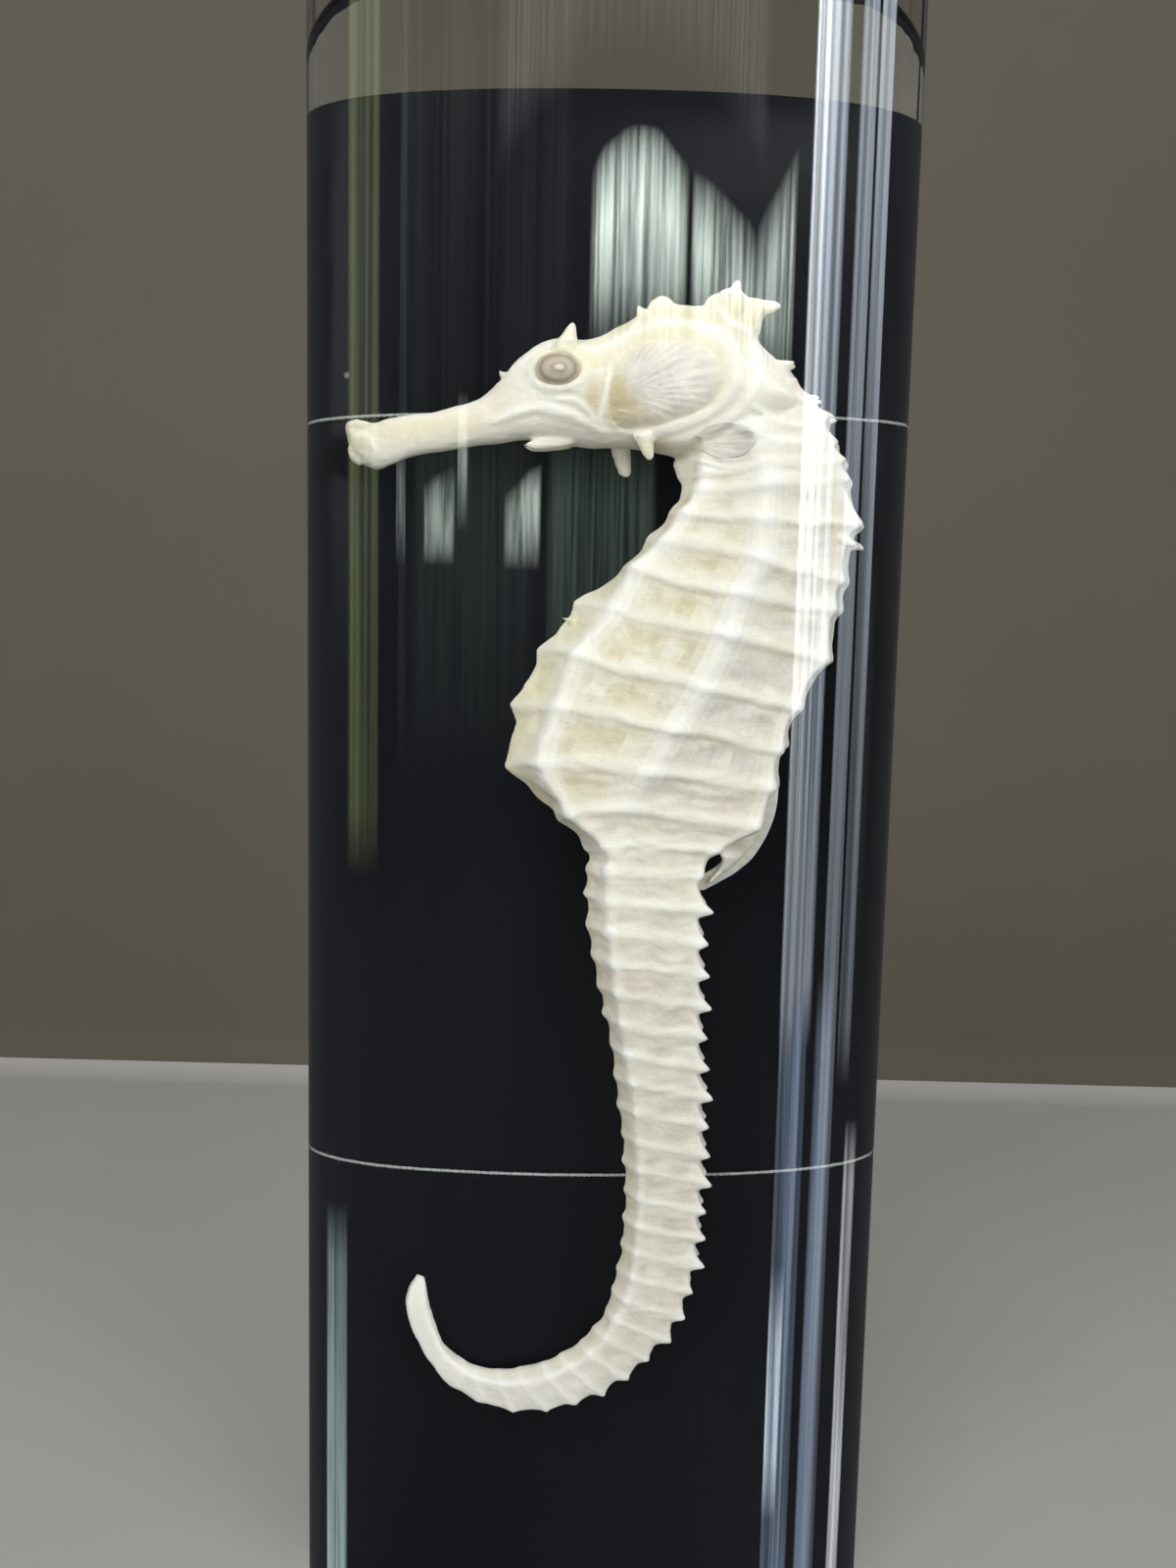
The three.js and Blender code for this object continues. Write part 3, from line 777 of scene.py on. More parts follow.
def body_stations():
    """Every ring's eight corners, its belly bump and back spine, and how far it belongs to the tail."""
    stations, belly_bump, back_spine, tailness = [], [], [], []
    edges = tail_rings()
    for i, (belly, lower, side, back, thickness, bump, spine) in enumerate(TRUNK):
        tail = float(smoothstep(i, 10, TRUNK_LAST))
        stations.append(station(belly, lower, side, back, thickness, MID_PLANE, tail))
        belly_bump.append(bump)
        back_spine.append(spine)
        tailness.append(tail)
    resting = PLATE_FRONT - PLATE_GAP
    for i, (inner, outer) in enumerate(edges):
        share = i / (len(edges) - 1)
        half = np.linalg.norm(outer - inner) / 2
        thickness = half * TAIL_DEPTH
        settled = float(smoothstep(share, 0, TAIL_SETTLED))
        y = MID_PLANE + (resting - TAIL_CLEARANCE - thickness - MID_PLANE) * settled
        lower = inner + (outer - inner) * 0.2
        side = inner + (outer - inner) * 0.6
        stations.append(station(inner, lower, side, outer, thickness, y, 1.0))
        fade = 1 - float(smoothstep(share, SPINES_FULL, SPINES_GONE))
        big = SPINE_RHYTHM[i % len(SPINE_RHYTHM)]
        belly_bump.append(BUMP_LENGTH * fade * half / 4)
        back_spine.append(SPINE_LENGTH * fade * big * (half / 4.4) ** 0.5)
        tailness.append(1.0)
    return np.array(stations), np.array(belly_bump), np.array(back_spine), np.array(tailness)


def row_places(stations):
    """Fractional ring numbers for rows about ROW_STEP apart."""
    rows = []
    for i in range(len(stations) - 1):
        gap = np.linalg.norm(stations[i + 1] - stations[i], axis=1).max()
        steps = max(6, int(gap / ROW_STEP))
        rows.append(i + np.arange(steps) / steps)
    return np.concatenate(rows + [[len(stations) - 1.0]])


# Belly, lower ridge, side ridge, back, middle of the back, and the far side's three.
CORNER_STRENGTH = np.array([0.35, 0.9, 1.0, 0.8, 0.0, 0.8, 1.0, 0.9])
CORNER_WIDTH = np.array([1.0, 1.0, 1.25, 0.9, 1.0, 0.9, 1.25, 1.0])
FAR_SPINES = 0.45
SPINE_LEAN = 0.1


def crest_reach(q):
    """How far the crests stand out: little on the neck, fully from the sixth ring on."""
    return smoothstep(q, 1.2, 2.6) * (0.5 + 0.5 * smoothstep(q, 3.5, 6.0))


def half_sizes(stations):
    """Half the distance from belly to back at each ring."""
    return np.linalg.norm(stations[:, 3] - stations[:, 0], axis=1) / 2


def ripples(points, seed, length):
    """A smooth, repeatable lumpiness between -1 and 1, with lumps about length across."""
    draw = np.random.default_rng(seed)
    total = np.zeros(points.shape[:-1])
    for _ in range(9):
        direction = draw.normal(size=3)
        direction *= 2 * math.pi / length / np.linalg.norm(direction) * draw.uniform(0.7, 1.4)
        total += np.sin(points @ direction + draw.uniform(0, 6.28))
    return total / 4.5


def spikes(
    q, points, corners, belly_bump, back_spine, to_start, to_end, corner_from, corner_to, scale
):
    """Belly bumps and back spines: each rises slowly towards its ring and drops sharply below it."""
    ahead = np.clip(np.ceil(q).astype(int), 0, len(belly_bump) - 1)
    rise = np.where(q < ahead, 1 - (ahead - q), 1.0)
    slow = np.clip(rise, 0, 1)
    drop = bell(np.clip(q - np.floor(q), 0, 1), 0.2)
    here = np.floor(q).astype(int)
    moved = np.zeros_like(points)
    outward = corners[:, 3] - corners[:, 0]
    down = np.gradient(corners[:, 3], axis=0)
    outward[:, 1] = down[:, 1] = 0
    outward, down = unit(outward), unit(down, TINY)
    edges = (
        (0, belly_bump, -1, 2.2, 1.2),
        (3, back_spine, 1, 1.15, 2.0),
        (5, FAR_SPINES * back_spine, 1, 1.15, 2.0),
    )
    for corner, sizes, sign, spread, curve in edges:
        height = np.maximum(sizes[ahead] * slow**curve, sizes[here] * drop)
        away = np.minimum(
            np.where(corner_from == corner, to_start, 99), np.where(corner_to == corner, to_end, 99)
        )
        amount = height[:, None] * bell(away, spread * (0.4 + 0.6 * scale))
        lean = SPINE_LEAN if sign > 0 else 0.0
        direction = outward * sign + down * lean
        moved += amount[:, :, None] * direction[:, None]
    return moved


PER_EDGE = 13
# Heights of the relief on the trunk, and how much lower or higher each is on the tail.
CREST, CREST_LOWER = 0.25, 0.07
CORNER, CORNER_LOWER = 0.30, 0.19
KNOT, KNOT_HIGHER = 0.26, 0.14
HOLLOW, HOLLOW_LOST = 0.32, 0.5
GROOVE, GROOVE_LOWER = 0.06, 0.03
CREASE, CREASE_HIGHER = 0.05, 0.05
# Rings before the tail's end where the relief starts to fade, and where it has gone.
FADE_FROM, FADE_TO = 11, 5


def body_surface():
    """The trunk and tail as a grid of points, with what the skin material needs to know of each."""
    stations, belly_bump, back_spine, tailness = body_stations()
    q = row_places(stations)
    corners = spline(stations, q)
    t = np.arange(PER_EDGE) / PER_EDGE
    after = np.roll(corners, -1, axis=1)
    before = np.roll(corners, 1, axis=1)
    beyond = np.roll(corners, -2, axis=1)
    straight = corners[:, :, None] * (1 - t)[:, None] + after[:, :, None] * t[:, None]
    edge_points = (c[:, :, None] for c in (before, corners, after, beyond))
    rounded = catmull_rom(*edge_points, t[:, None])
    tail = np.interp(q, np.arange(len(stations)), tailness)[:, None]
    rounding = (0.5 + 0.45 * tail)[:, :, None, None]
    points = (straight * (1 - rounding) + rounded * rounding).reshape(len(q), -1, 3)
    along = np.gradient(points, axis=0) / np.gradient(q)[:, None, None]
    around = (np.roll(points, -1, 1) - np.roll(points, 1, 1)) / 2
    normal = unit(np.cross(around, along), TINY)
    middle = points.mean(1, keepdims=True)
    normal *= np.sign(((points - middle) * normal).sum(2).mean())

    ring = np.rint(q)
    spacing = np.linalg.norm(along, axis=2)
    size = np.interp(q, np.arange(len(stations)), half_sizes(stations))[:, None]
    scale = np.clip(size / 7, 0.3, 1)
    drift = (0.3 * ripples(points, 33, 7.5) + 0.1 * ripples(points, 34, 2.6)) * scale
    from_ring = (q - ring)[:, None] * spacing + drift * (np.abs(q - ring) < 0.42)[:, None]

    edge_length = np.linalg.norm(after - corners, axis=2)
    position = np.broadcast_to(t, (CORNERS, PER_EDGE)).reshape(-1)
    lengths = np.repeat(edge_length, PER_EDGE, axis=1)
    to_start = position * lengths
    to_end = (1 - position) * lengths
    corner_from = np.repeat(np.arange(CORNERS), PER_EDGE)
    corner_to = (corner_from + 1) % CORNERS
    side_fade = np.ones((len(q), CORNERS))
    side_fade[:, 2] = side_fade[:, 6] = 1 - smoothstep(q, 11.0, 13.0)
    side_fade[:, 0] = 1 - 0.7 * tail[:, 0]
    weight = CORNER_STRENGTH * side_fade

    def near_corners(widths):
        return np.maximum(
            bell(to_start, widths[corner_from] * scale) * weight[:, corner_from],
            bell(to_end, widths[corner_to] * scale) * weight[:, corner_to],
        )

    near_corner = near_corners(CORNER_WIDTH)
    above = np.minimum(from_ring, 0)
    below = np.maximum(from_ring, 0)
    broad = 1.15 - 0.35 * tail
    sharp = 0.34 + 0.36 * tail
    crest = bell(above, broad * scale + 0.1) * bell(below, sharp * scale + 0.06)
    crest = crest * crest_reach(q)[:, None]
    crest = crest * (0.8 + 0.4 * ripples(points, 21, 5.0))
    belly_side = np.minimum(
        np.where(corner_from == 0, to_start, 99), np.where(corner_to == 0, to_end, 99)
    )
    crest = crest * (1 - 0.75 * bell(belly_side, 2.4 * scale) * (1 - tail))
    tip_fade = 1 - smoothstep(q, len(stations) - FADE_FROM, len(stations) - FADE_TO)[:, None]
    crest = crest * tip_fade
    knot = bell(from_ring, (0.8 + 0.35 * tail) * scale) * near_corner * tip_fade
    groove = bell(below - 0.55 * scale, 0.26 * scale) * (from_ring > 0) * crest_reach(q)[:, None]
    hollow = (1 - bell(from_ring, 1.25 * scale)) * (1 - near_corners(CORNER_WIDTH * 1.5))
    relief = scale * (
        (CREST - CREST_LOWER * tail) * crest
        + (CORNER - CORNER_LOWER * tail) * near_corner
        + (KNOT + KNOT_HIGHER * tail) * knot
        - HOLLOW * hollow * (1 - HOLLOW_LOST * tail)
        - (GROOVE - GROOVE_LOWER * tail) * groove * (1 - near_corner) * tip_fade
    )
    slant = 2 * math.pi * (2.6 * q[:, None] + 0.5 * tail * position)
    crease = np.sin(slant + 2.8 * ripples(points, 52, 3.4)) * (0.6 + 0.5 * ripples(points, 53, 5.0))
    relief = relief + (CREASE + CREASE_HIGHER * tail) * crease * tip_fade * scale * (1 - near_corner)

    wave = ripples(points, 41, 3.4) * 0.10 + ripples(points, 42, 1.3) * 0.035
    points = points + normal * (relief + wave * scale)[:, :, None]
    points = points + spikes(
        q, points, corners, belly_bump, back_spine, to_start, to_end, corner_from, corner_to, scale
    )

    blotch = 0.55 + 0.6 * ripples(points, 61, 3.2)
    over_side = np.isin(corner_from, (2, 5))[None]
    # The panel fact darkens the sunken panels: partly their own grey-tan tone and partly painted shade in
    # the hollows.
    panel = np.clip(hollow * blotch, 0, 1)
    belly_tint = (0.75 + 0.1 * tail) * bell(belly_side, 2.4 - 0.9 * tail)
    belly_tint = 0.42 * hollow * (1 - tail) * ~over_side + belly_tint
    # Painted shade: brown in the groove just under each ring crest, where the crest's shadow falls.
    stain_and_crease_shade = groove * (0.3 + 0.25 * ripples(points, 71, 4.0)) * (1 - near_corner) * tip_fade
    # Paler knots, corners and tail crests: partly bleached bone and partly painted highlight on the raised
    # parts.
    bleached_and_highlit = knot * 0.9 + (0.75 - 0.45 * tail) * near_corners(CORNER_WIDTH * 1.1) + 0.4 * tail * crest
    towards_tip = smoothstep(q, len(stations) - 20, len(stations) - 6)[:, None]
    facts = {
        # The ridge fact lightens the crests and corners: partly their own ivory and partly painted
        # highlight.
        "ridge": np.clip(crest * 0.75 + near_corner * 0.3, 0, 1),
        "panel": panel * (1 - 0.25 * tail),
        "lilac": np.clip(panel * over_side * (1 - tail) + 0.75 * tail * hollow * blotch, 0, 1),
        "yellow": np.clip(belly_tint + 0.2 * (ripples(points, 7, 6.0) - 0.1), 0, 1),
        "brown": np.clip(stain_and_crease_shade, 0, 1),
        "pale": np.clip(bleached_and_highlit + 0.8 * towards_tip, 0, 1),
    }
    return points, facts


# ---------------------------------------------------------------- head
# From the lips to the nape: throat x and z, crown x and z, half thickness, share of it at the crown.
HEAD = [
    [-24.1, 22.3, -24.7, 23.7, 0.8, 0.9],
    [-23.5, 20.8, -24.2, 24.3, 1.4, 0.9],
    [-22.3, 19.7, -22.7, 24.3, 1.8, 0.9],
    [-20.9, 19.2, -21.1, 24.0, 1.75, 0.9],
    [-19.3, 19.8, -19.4, 24.5, 1.6, 0.9],
    [-17.2, 20.5, -17.5, 24.8, 1.55, 0.9],
    [-14.8, 21.0, -15.3, 25.1, 1.65, 0.9],
    [-12.1, 21.5, -12.6, 25.9, 1.9, 0.85],
    [-9.8, 21.8, -10.6, 26.9, 2.3, 0.8],
    [-7.8, 22.2, -9.3, 28.7, 2.8, 0.75],
    [-5.6, 22.2, -7.3, 31.1, 3.3, 0.75],
    [-3.4, 21.8, -4.6, 32.6, 3.8, 0.75],
    [-1.2, 21.5, -1.6, 32.6, 4.2, 0.65],
    [1.2, 21.6, 1.4, 34.2, 4.6, 0.5],
    [3.6, 21.4, 4.3, 36.3, 5.0, 0.4],
    [6.0, 20.8, 7.3, 36.2, 5.2, 0.35],
    [8.6, 20.6, 10.4, 36.4, 5.1, 0.35],
    [11.2, 21.2, 12.2, 34.4, 4.9, 0.4],
    [13.4, 22.4, 14.0, 32.0, 4.6, 0.5],
    [15.4, 23.8, 16.0, 30.2, 3.8, 0.6],
    [17.2, 25.0, 17.5, 28.2, 2.4, 0.7],
]


def head_surface():
    """The head, from the lips to the nape, as a grid of points."""
    table = np.array(HEAD)
    gaps = np.abs(np.diff(table[:, 2])).max()
    q = np.linspace(0, len(table) - 1, int((len(table) - 1) * max(8, gaps / ROW_STEP)))
    rows = spline(table, q)
    throat, crown = rows[:, 0:2], rows[:, 2:4]
    angle = full_turn(72)
    u = -np.cos(angle)
    across = -np.sin(angle)
    thin = 1 + (rows[:, 5][:, None] - 1) * np.clip(u, 0, 1)[None] ** 1.2
    share = (u + 1) / 2
    x = throat[:, 0, None] + (crown - throat)[:, 0, None] * share
    z = throat[:, 1, None] + (crown - throat)[:, 1, None] * share
    full = np.sign(across) * np.abs(across) ** 0.85
    y = MID_PLANE + rows[:, 4][:, None] * thin * full[None]
    return np.stack([x, y, z], -1)


# Raised lines on each side of the head and neck: width, height, then the points (x, z).
HEAD_LINES = [
    (0.50, 0.30, [(-10.5, 23.6), (-6.9, 25.0), (-4.3, 24.7), (-1.6, 23.6), (0.4, 22.4)]),
    (0.34, 0.24, [(0.2, 30.0), (0.0, 27.5), (-0.5, 24.6), (-0.9, 23.2)]),
    (0.30, 0.20, [(-4.9, 26.0), (-2.4, 25.6), (-0.9, 23.6)]),
    (0.50, 0.30, [(-9.3, 28.6), (-6.8, 31.0), (-3.8, 32.0), (-1.2, 31.2), (1.4, 32.6), (3.2, 34.6)]),
    (0.55, 0.26, [(1.2, 32.2), (4.2, 33.8), (7.4, 33.9), (10.3, 33.0), (11.5, 30.6), (11.5, 28.0),
                  (10.2, 25.6), (7.4, 23.7), (3.6, 22.6), (0.2, 22.0)]),
    (0.60, 0.30, [(12.8, 33.0), (13.4, 30.4), (13.2, 27.6), (11.8, 24.9), (8.8, 22.9), (5.2, 21.8)]),
    (0.45, 0.30, [(9.6, 36.2), (10.6, 34.4), (12.6, 33.4), (15.0, 31.2)]),
    (0.40, 0.28, [(7.6, 33.6), (10.2, 32.2), (12.8, 29.6)]),
    (0.45, 0.30, [(13.0, 29.4), (15.6, 27.6), (18.6, 26.6)]),
    (0.45, 0.34, [(12.0, 26.4), (15.2, 24.4), (18.8, 23.8), (20.6, 23.2)]),
    (0.40, 0.24, [(11.4, 23.6), (14.6, 22.6), (18.0, 22.4)]),
    (0.22, 0.16, [(8.4, 20.9), (10.8, 20.2), (13.6, 20.6)]),
    (0.20, 0.20, [(8.2, 20.2), (10.8, 19.4), (13.8, 19.6)]),
    (0.20, 0.26, [(8.0, 19.4), (10.8, 18.7), (13.8, 18.7)]),
    (0.36, 0.22, [(-23.6, 22.4), (-22.4, 22.6), (-21.6, 21.6), (-21.0, 20.4)]),
]
GILL_HUB = (1.3, 26.6)
GILL_EDGE = [
    (0.6, 29.6), (2.4, 31.6), (5.4, 32.5), (8.6, 31.8), (10.4, 29.8), (10.6, 27.6), (9.2, 25.4),
    (6.4, 23.9), (3.0, 23.0), (0.8, 23.4), (0.2, 26.4),
]


def distance_to_line(x, z, points):
    """Distance from each (x, z) to a smooth line through points, and how far along it that is."""
    line = spline(points, np.linspace(0, len(points) - 1, 24 * (len(points) - 1)))
    best = np.full(x.shape, 1e9)
    place = np.zeros(x.shape)
    for i, (a, b) in enumerate(zip(line, line[1:])):
        ab = b - a
        t = np.clip(((x - a[0]) * ab[0] + (z - a[1]) * ab[1]) / (ab @ ab + 1e-12), 0, 1)
        d = np.hypot(x - a[0] - t * ab[0], z - a[1] - t * ab[1])
        closer = d < best
        best = np.where(closer, d, best)
        place = np.where(closer, (i + t) / (len(line) - 1), place)
    return best, place


def inside(x, z, outline):
    """Whether each point lies inside a closed outline."""
    outline = np.array(outline)
    closed = np.vstack([outline[-2:], outline, outline[:2]])
    smooth = spline(closed, np.linspace(1, len(closed) - 2, 120))
    hit = np.zeros(x.shape, bool)
    for (ax, az), (bx, bz) in zip(smooth, np.roll(smooth, -1, axis=0)):
        crosses = (az > z) != (bz > z)
        with np.errstate(divide="ignore", invalid="ignore"):
            edge = (bx - ax) * (z - az) / (bz - az) + ax
        hit ^= crosses & (x < edge)
    return hit


def head_relief(x, z):
    """Height to add to each side of the head, and the skin facts there."""
    def patch(middle_x, middle_z, half_width, half_height):
        """A soft oval spot."""
        return bell(np.hypot((x - middle_x) / half_width, (z - middle_z) / half_height), 1.0)

    height = np.zeros(x.shape)
    ridge = np.zeros(x.shape)
    for width, tall, points in HEAD_LINES:
        d, place = distance_to_line(x, z, points)
        taper = smoothstep(place, 0.0, 0.12) * (1 - smoothstep(place, 0.88, 1.0)) * 0.8 + 0.2
        line = bell(d, width) * taper
        height = np.maximum(height, tall * line)
        ridge = np.maximum(ridge, line)
    eye = np.hypot((x - EYE_X) / 1.22, z - EYE_Z)
    orbit = bell(eye - 2.0, 0.42)
    height = height * smoothstep(eye, 1.9, 2.6) + 0.38 * orbit - 1.5 * (1 - smoothstep(eye, 1.0, 1.75))

    gill = inside(x, z, GILL_EDGE)
    edge_gap, _ = distance_to_line(x, z, GILL_EDGE + GILL_EDGE[:1])
    dome = np.where(gill, smoothstep(edge_gap, 0.1, 1.6), 0)
    from_hub = np.hypot(x - GILL_HUB[0], z - GILL_HUB[1])
    bearing = np.arctan2(z - GILL_HUB[1], x - GILL_HUB[0])
    rays = 0.5 + 0.5 * np.sin(bearing * 46 + 1.5 * np.sin(bearing * 7))
    fan = dome * smoothstep(from_hub, 1.0, 3.0)
    height += 0.34 * dome + 0.09 * fan * rays - 0.22 * np.where(gill, bell(edge_gap, 0.35), 0)
    hub = smoothstep(x, -0.7, 0.7) * smoothstep(z, 22.8, 24.8)
    hub = hub * (1 - smoothstep(0.82 * x + 0.58 * (z - 29.3), -1.1, 1.3))
    cheek = patch(-1.2, 26.2, 0.8, 1.8)
    crown = bell(z - 33.6 - 0.12 * x, 2.2) * smoothstep(x, -2.0, 2.0)
    snout = smoothstep(-x, 9.0, 13.0) * bell(z - 22.6 - 0.16 * (x + 20), 1.3)
    over_eye = patch(-3.0, 31.2, 2.6, 1.2) + bell(np.hypot(x + 1.6, z - 29.6), 0.7)
    neck_fold = patch(7.0, 21.4, 3.4, 1.0)
    sunken = 0.35 * dome + 0.95 * hub + 0.6 * cheek + 0.4 * snout + 0.6 * neck_fold
    tint = 1.6 * over_eye + 0.9 * crown + 0.3 * bell(edge_gap, 1.2) + 0.5 * snout + 0.4 * hub
    # Brown patches on the gill hub, cheek and crown, and painted shade in the neck fold.
    stain_and_crease_shade = 0.55 * hub + 0.35 * cheek + 0.2 * neck_fold + 0.3 * crown
    # The ridge and pale facts lighten the raised lines, orbit rim and gill rays: partly their own colour
    # and partly painted highlight.
    facts = {
        "ridge": np.clip(ridge * 0.8 + 0.4 * orbit, 0, 1),
        "panel": np.clip(sunken, 0, 1),
        "yellow": np.clip(tint, 0, 1),
        "lilac": np.clip(1.1 * dome * (1 - 0.5 * rays) * (1 - hub), 0, 1),
        "brown": np.clip(stain_and_crease_shade, 0, 1),
        "pale": np.clip(0.35 * fan * rays + 0.5 * ridge, 0, 1),
    }
    return height, facts


# ---------------------------------------------------------------- fin base and head parts
# The rim and the root of the fleshy base that carries the dorsal fin, from its top down (x, z each).
LOBE_OUTER = [
    (14.4, -8.6), (15.6, -10.8), (16.1, -14.0), (15.8, -17.2), (14.6, -20.4), (12.7, -22.9), (10.6, -24.9),
]
LOBE_INNER = [
    (11.6, -8.8), (11.4, -11.0), (10.8, -14.0), (9.8, -17.2), (9.0, -19.6), (11.6, -21.9), (10.4, -24.6),
]
LOBE_FOLDS = (-15.8, -18.2, -20.0, -21.8)


def lobe_rings():
    """The fleshy base of the folded dorsal fin: a wedge, thick against the back and thin at its rim."""
    v = np.linspace(0, 1, 110)
    rim = spline(LOBE_OUTER, v * (len(LOBE_OUTER) - 1))
    root = spline(LOBE_INNER, v * (len(LOBE_INNER) - 1))
    turn = full_turn(40)
    share = (1 - np.cos(turn)) / 2
    plan = root[:, None] + (rim - root)[:, None] * share[None, :, None]
    fade = (1 - smoothstep(v, 0.5, 1.0) * 0.8)[:, None]
    around = np.sign(np.sin(turn)) * np.abs(np.sin(turn)) ** 0.6
    thick = (0.8 + 3.2 * (1 - share[None]) ** 1.2 * fade) * around[None]
    for level in LOBE_FOLDS:
        thick *= 1 + 0.22 * bell(plan[..., 1] - level + 0.12 * (plan[..., 0] - 12), 0.4)
    return np.stack([plan[..., 0], MID_PLANE + thick, plan[..., 1]], -1)


# Spines in the middle of the head: root and tip (x, z each), radius, power.
MIDDLE_SPINES = [
    (4.8, 33.0, 4.6, 37.2, 2.5, 0.6),
    (9.6, 34.0, 9.3, 37.6, 1.8, 0.6),
    (10.4, 33.2, 10.9, 38.3, 2.5, 0.45),
    (10.8, 36.4, 11.3, 39.1, 0.9, 0.7),
    (11.4, 33.6, 13.0, 37.3, 1.9, 0.45),
]


def add_head_parts(shell):
    """Spines, pegs, the coronet and the lips. Every part starts well inside the head."""
    def at(x, z, offset=0.0):
        return (x, MID_PLANE + offset, z)

    shell.add_spine(at(-8.2, 27.6), at(-9.7, 29.4), 0.8)
    for side in (-1, 1):
        cheek, blunt = 2.3 - 1.1 * side, 0.42 - 0.2 * side
        # Root and tip (x, z, distance from the middle plane), radius, power, upward bend.
        spines = [
            (-3.9, 31.0, 1.9, -3.2, 33.9, 2.5, 1.15, 0.65, 0),
            (cheek, 22.6, 2.9, cheek + 0.6, 19.4 - 0.6 * side, 3.3, 0.9, blunt, 0),
            (-2.0, 23.0, 1.1, -7.4, 21.6, 1.0, 0.85, 0.4, -0.4),
            (10.6, 34.6, 0.9, 11.4, 37.8, 2.0, 1.3, 0.6, 0),
            (17.0, 27.0, 1.0, 19.4, 27.3, 1.5, 0.8, 0.8, 0),
            (18.0, 25.6, 1.2, 20.8, 25.4, 1.8, 0.9, 0.8, 0),
            (14.6, 30.2, 0.8, 16.8, 30.8, 1.1, 0.8, 0.8, 0),
            (3.4, 34.0, 0.6, 2.6, 36.0, 1.2, 0.9, 0.8, 0),
        ]
        for x, z, out, tip_x, tip_z, tip_out, radius, power, bend in spines:
            root, tip = at(x, z, side * out), at(tip_x, tip_z, side * tip_out)
            shell.add_spine(root, tip, radius, bend=(0, 0, bend), power=power)
    for x, z, tip_x, tip_z, radius, power in MIDDLE_SPINES:
        shell.add_spine(at(x, z), at(tip_x, tip_z), radius, power=power)
    shell.add_spine(at(11.4, 35.6), at(15.2, 36.5), 1.1, bend=(0, 0, 0.3), power=0.5, steps=12)
    lip_z, lip_x = 22.6, -23.4
    for side in (-1, 1):
        upper_lip = [
            at(lip_x - 1.0, 23.7, side * 0.7),
            at(lip_x, 23.9, side * 1.2),
            at(lip_x + 1.4, 23.7, side * 1.2),
        ]
        shell.add_tube(upper_lip, [0.35, 0.5, 0.4])
    lower_lip = [at(lip_x - 0.5, lip_z - 0.8), at(lip_x, lip_z - 1.7), at(lip_x + 1.0, lip_z - 2.5)]
    shell.add_tube(lower_lip, [0.5, 0.8, 0.7])
    shell.add_spine(at(-2.2, 3.2, -1.0), at(-3.9, 3.6, -1.4), 0.4)
    for side in (-1, 1):
        shell.add_spine(at(22.2, 12.6, side * 2.4), at(24.2, 12.0, side * 2.9), 0.8)


# ---------------------------------------------------------------- one skin over trunk, tail and head
VOXEL = 0.2
SMOOTHING = 5
# A point belongs to the head where z - NECK_SLOPE * x passes from the first level to the second.
NECK_SLOPE, NECK_LOW, NECK_HIGH = 0.25, 15.4, 18.0


def remeshed(obj, voxel):
    """One even mesh round everything in obj."""
    modifier = obj.modifiers.new("even skin", "REMESH")
    modifier.mode = "VOXEL"
    modifier.voxel_size = voxel * MM
    modifier.adaptivity = 0
    graph = bpy.context.evaluated_depsgraph_get()
    mesh = bpy.data.meshes.new_from_object(obj.evaluated_get(graph))
    obj.modifiers.clear()
    obj.data = mesh
    return mesh


def mesh_arrays(mesh):
    """A mesh's vertices in millimetres, and its edges."""
    points = np.zeros(len(mesh.vertices) * 3)
    mesh.vertices.foreach_get("co", points)
    edges = np.zeros(len(mesh.edges) * 2, np.int64)
    mesh.edges.foreach_get("vertices", edges)
    return points.reshape(-1, 3) / MM, edges.reshape(-1, 2)


def relaxed(points, edges, times):
    """Evens out the grain of the mesh: each smoothing step is followed by one that swells it back."""
    count = np.maximum(np.bincount(edges.ravel(), minlength=len(points)), 1)[:, None]
    for share in (0.55, -0.53) * times + (0.3,):
        total = np.zeros_like(points)
        for axis in range(3):
            total[:, axis] = np.bincount(edges[:, 0], points[edges[:, 1], axis], len(points))
            total[:, axis] += np.bincount(edges[:, 1], points[edges[:, 0], axis], len(points))
        points = points + (total / count - points) * share
    return points


def set_points(mesh, points):
    mesh.vertices.foreach_set("co", (points * MM).ravel())
    mesh.update()


def search_tree(points):
    tree = kdtree.KDTree(len(points))
    for i, point in enumerate(points):
        tree.insert(point, i)
    tree.balance()
    return tree


def normals_of(mesh):
    normals = np.zeros(len(mesh.vertices) * 3)
    mesh.vertices.foreach_get("normal", normals)
    return normals.reshape(-1, 3)


def specimen_to_frame(points):
    """Lifts points from the specimen's own levels to the frame's."""
    moved = points.copy()
    moved[..., 2] += SPECIMEN_LEVEL
    return moved


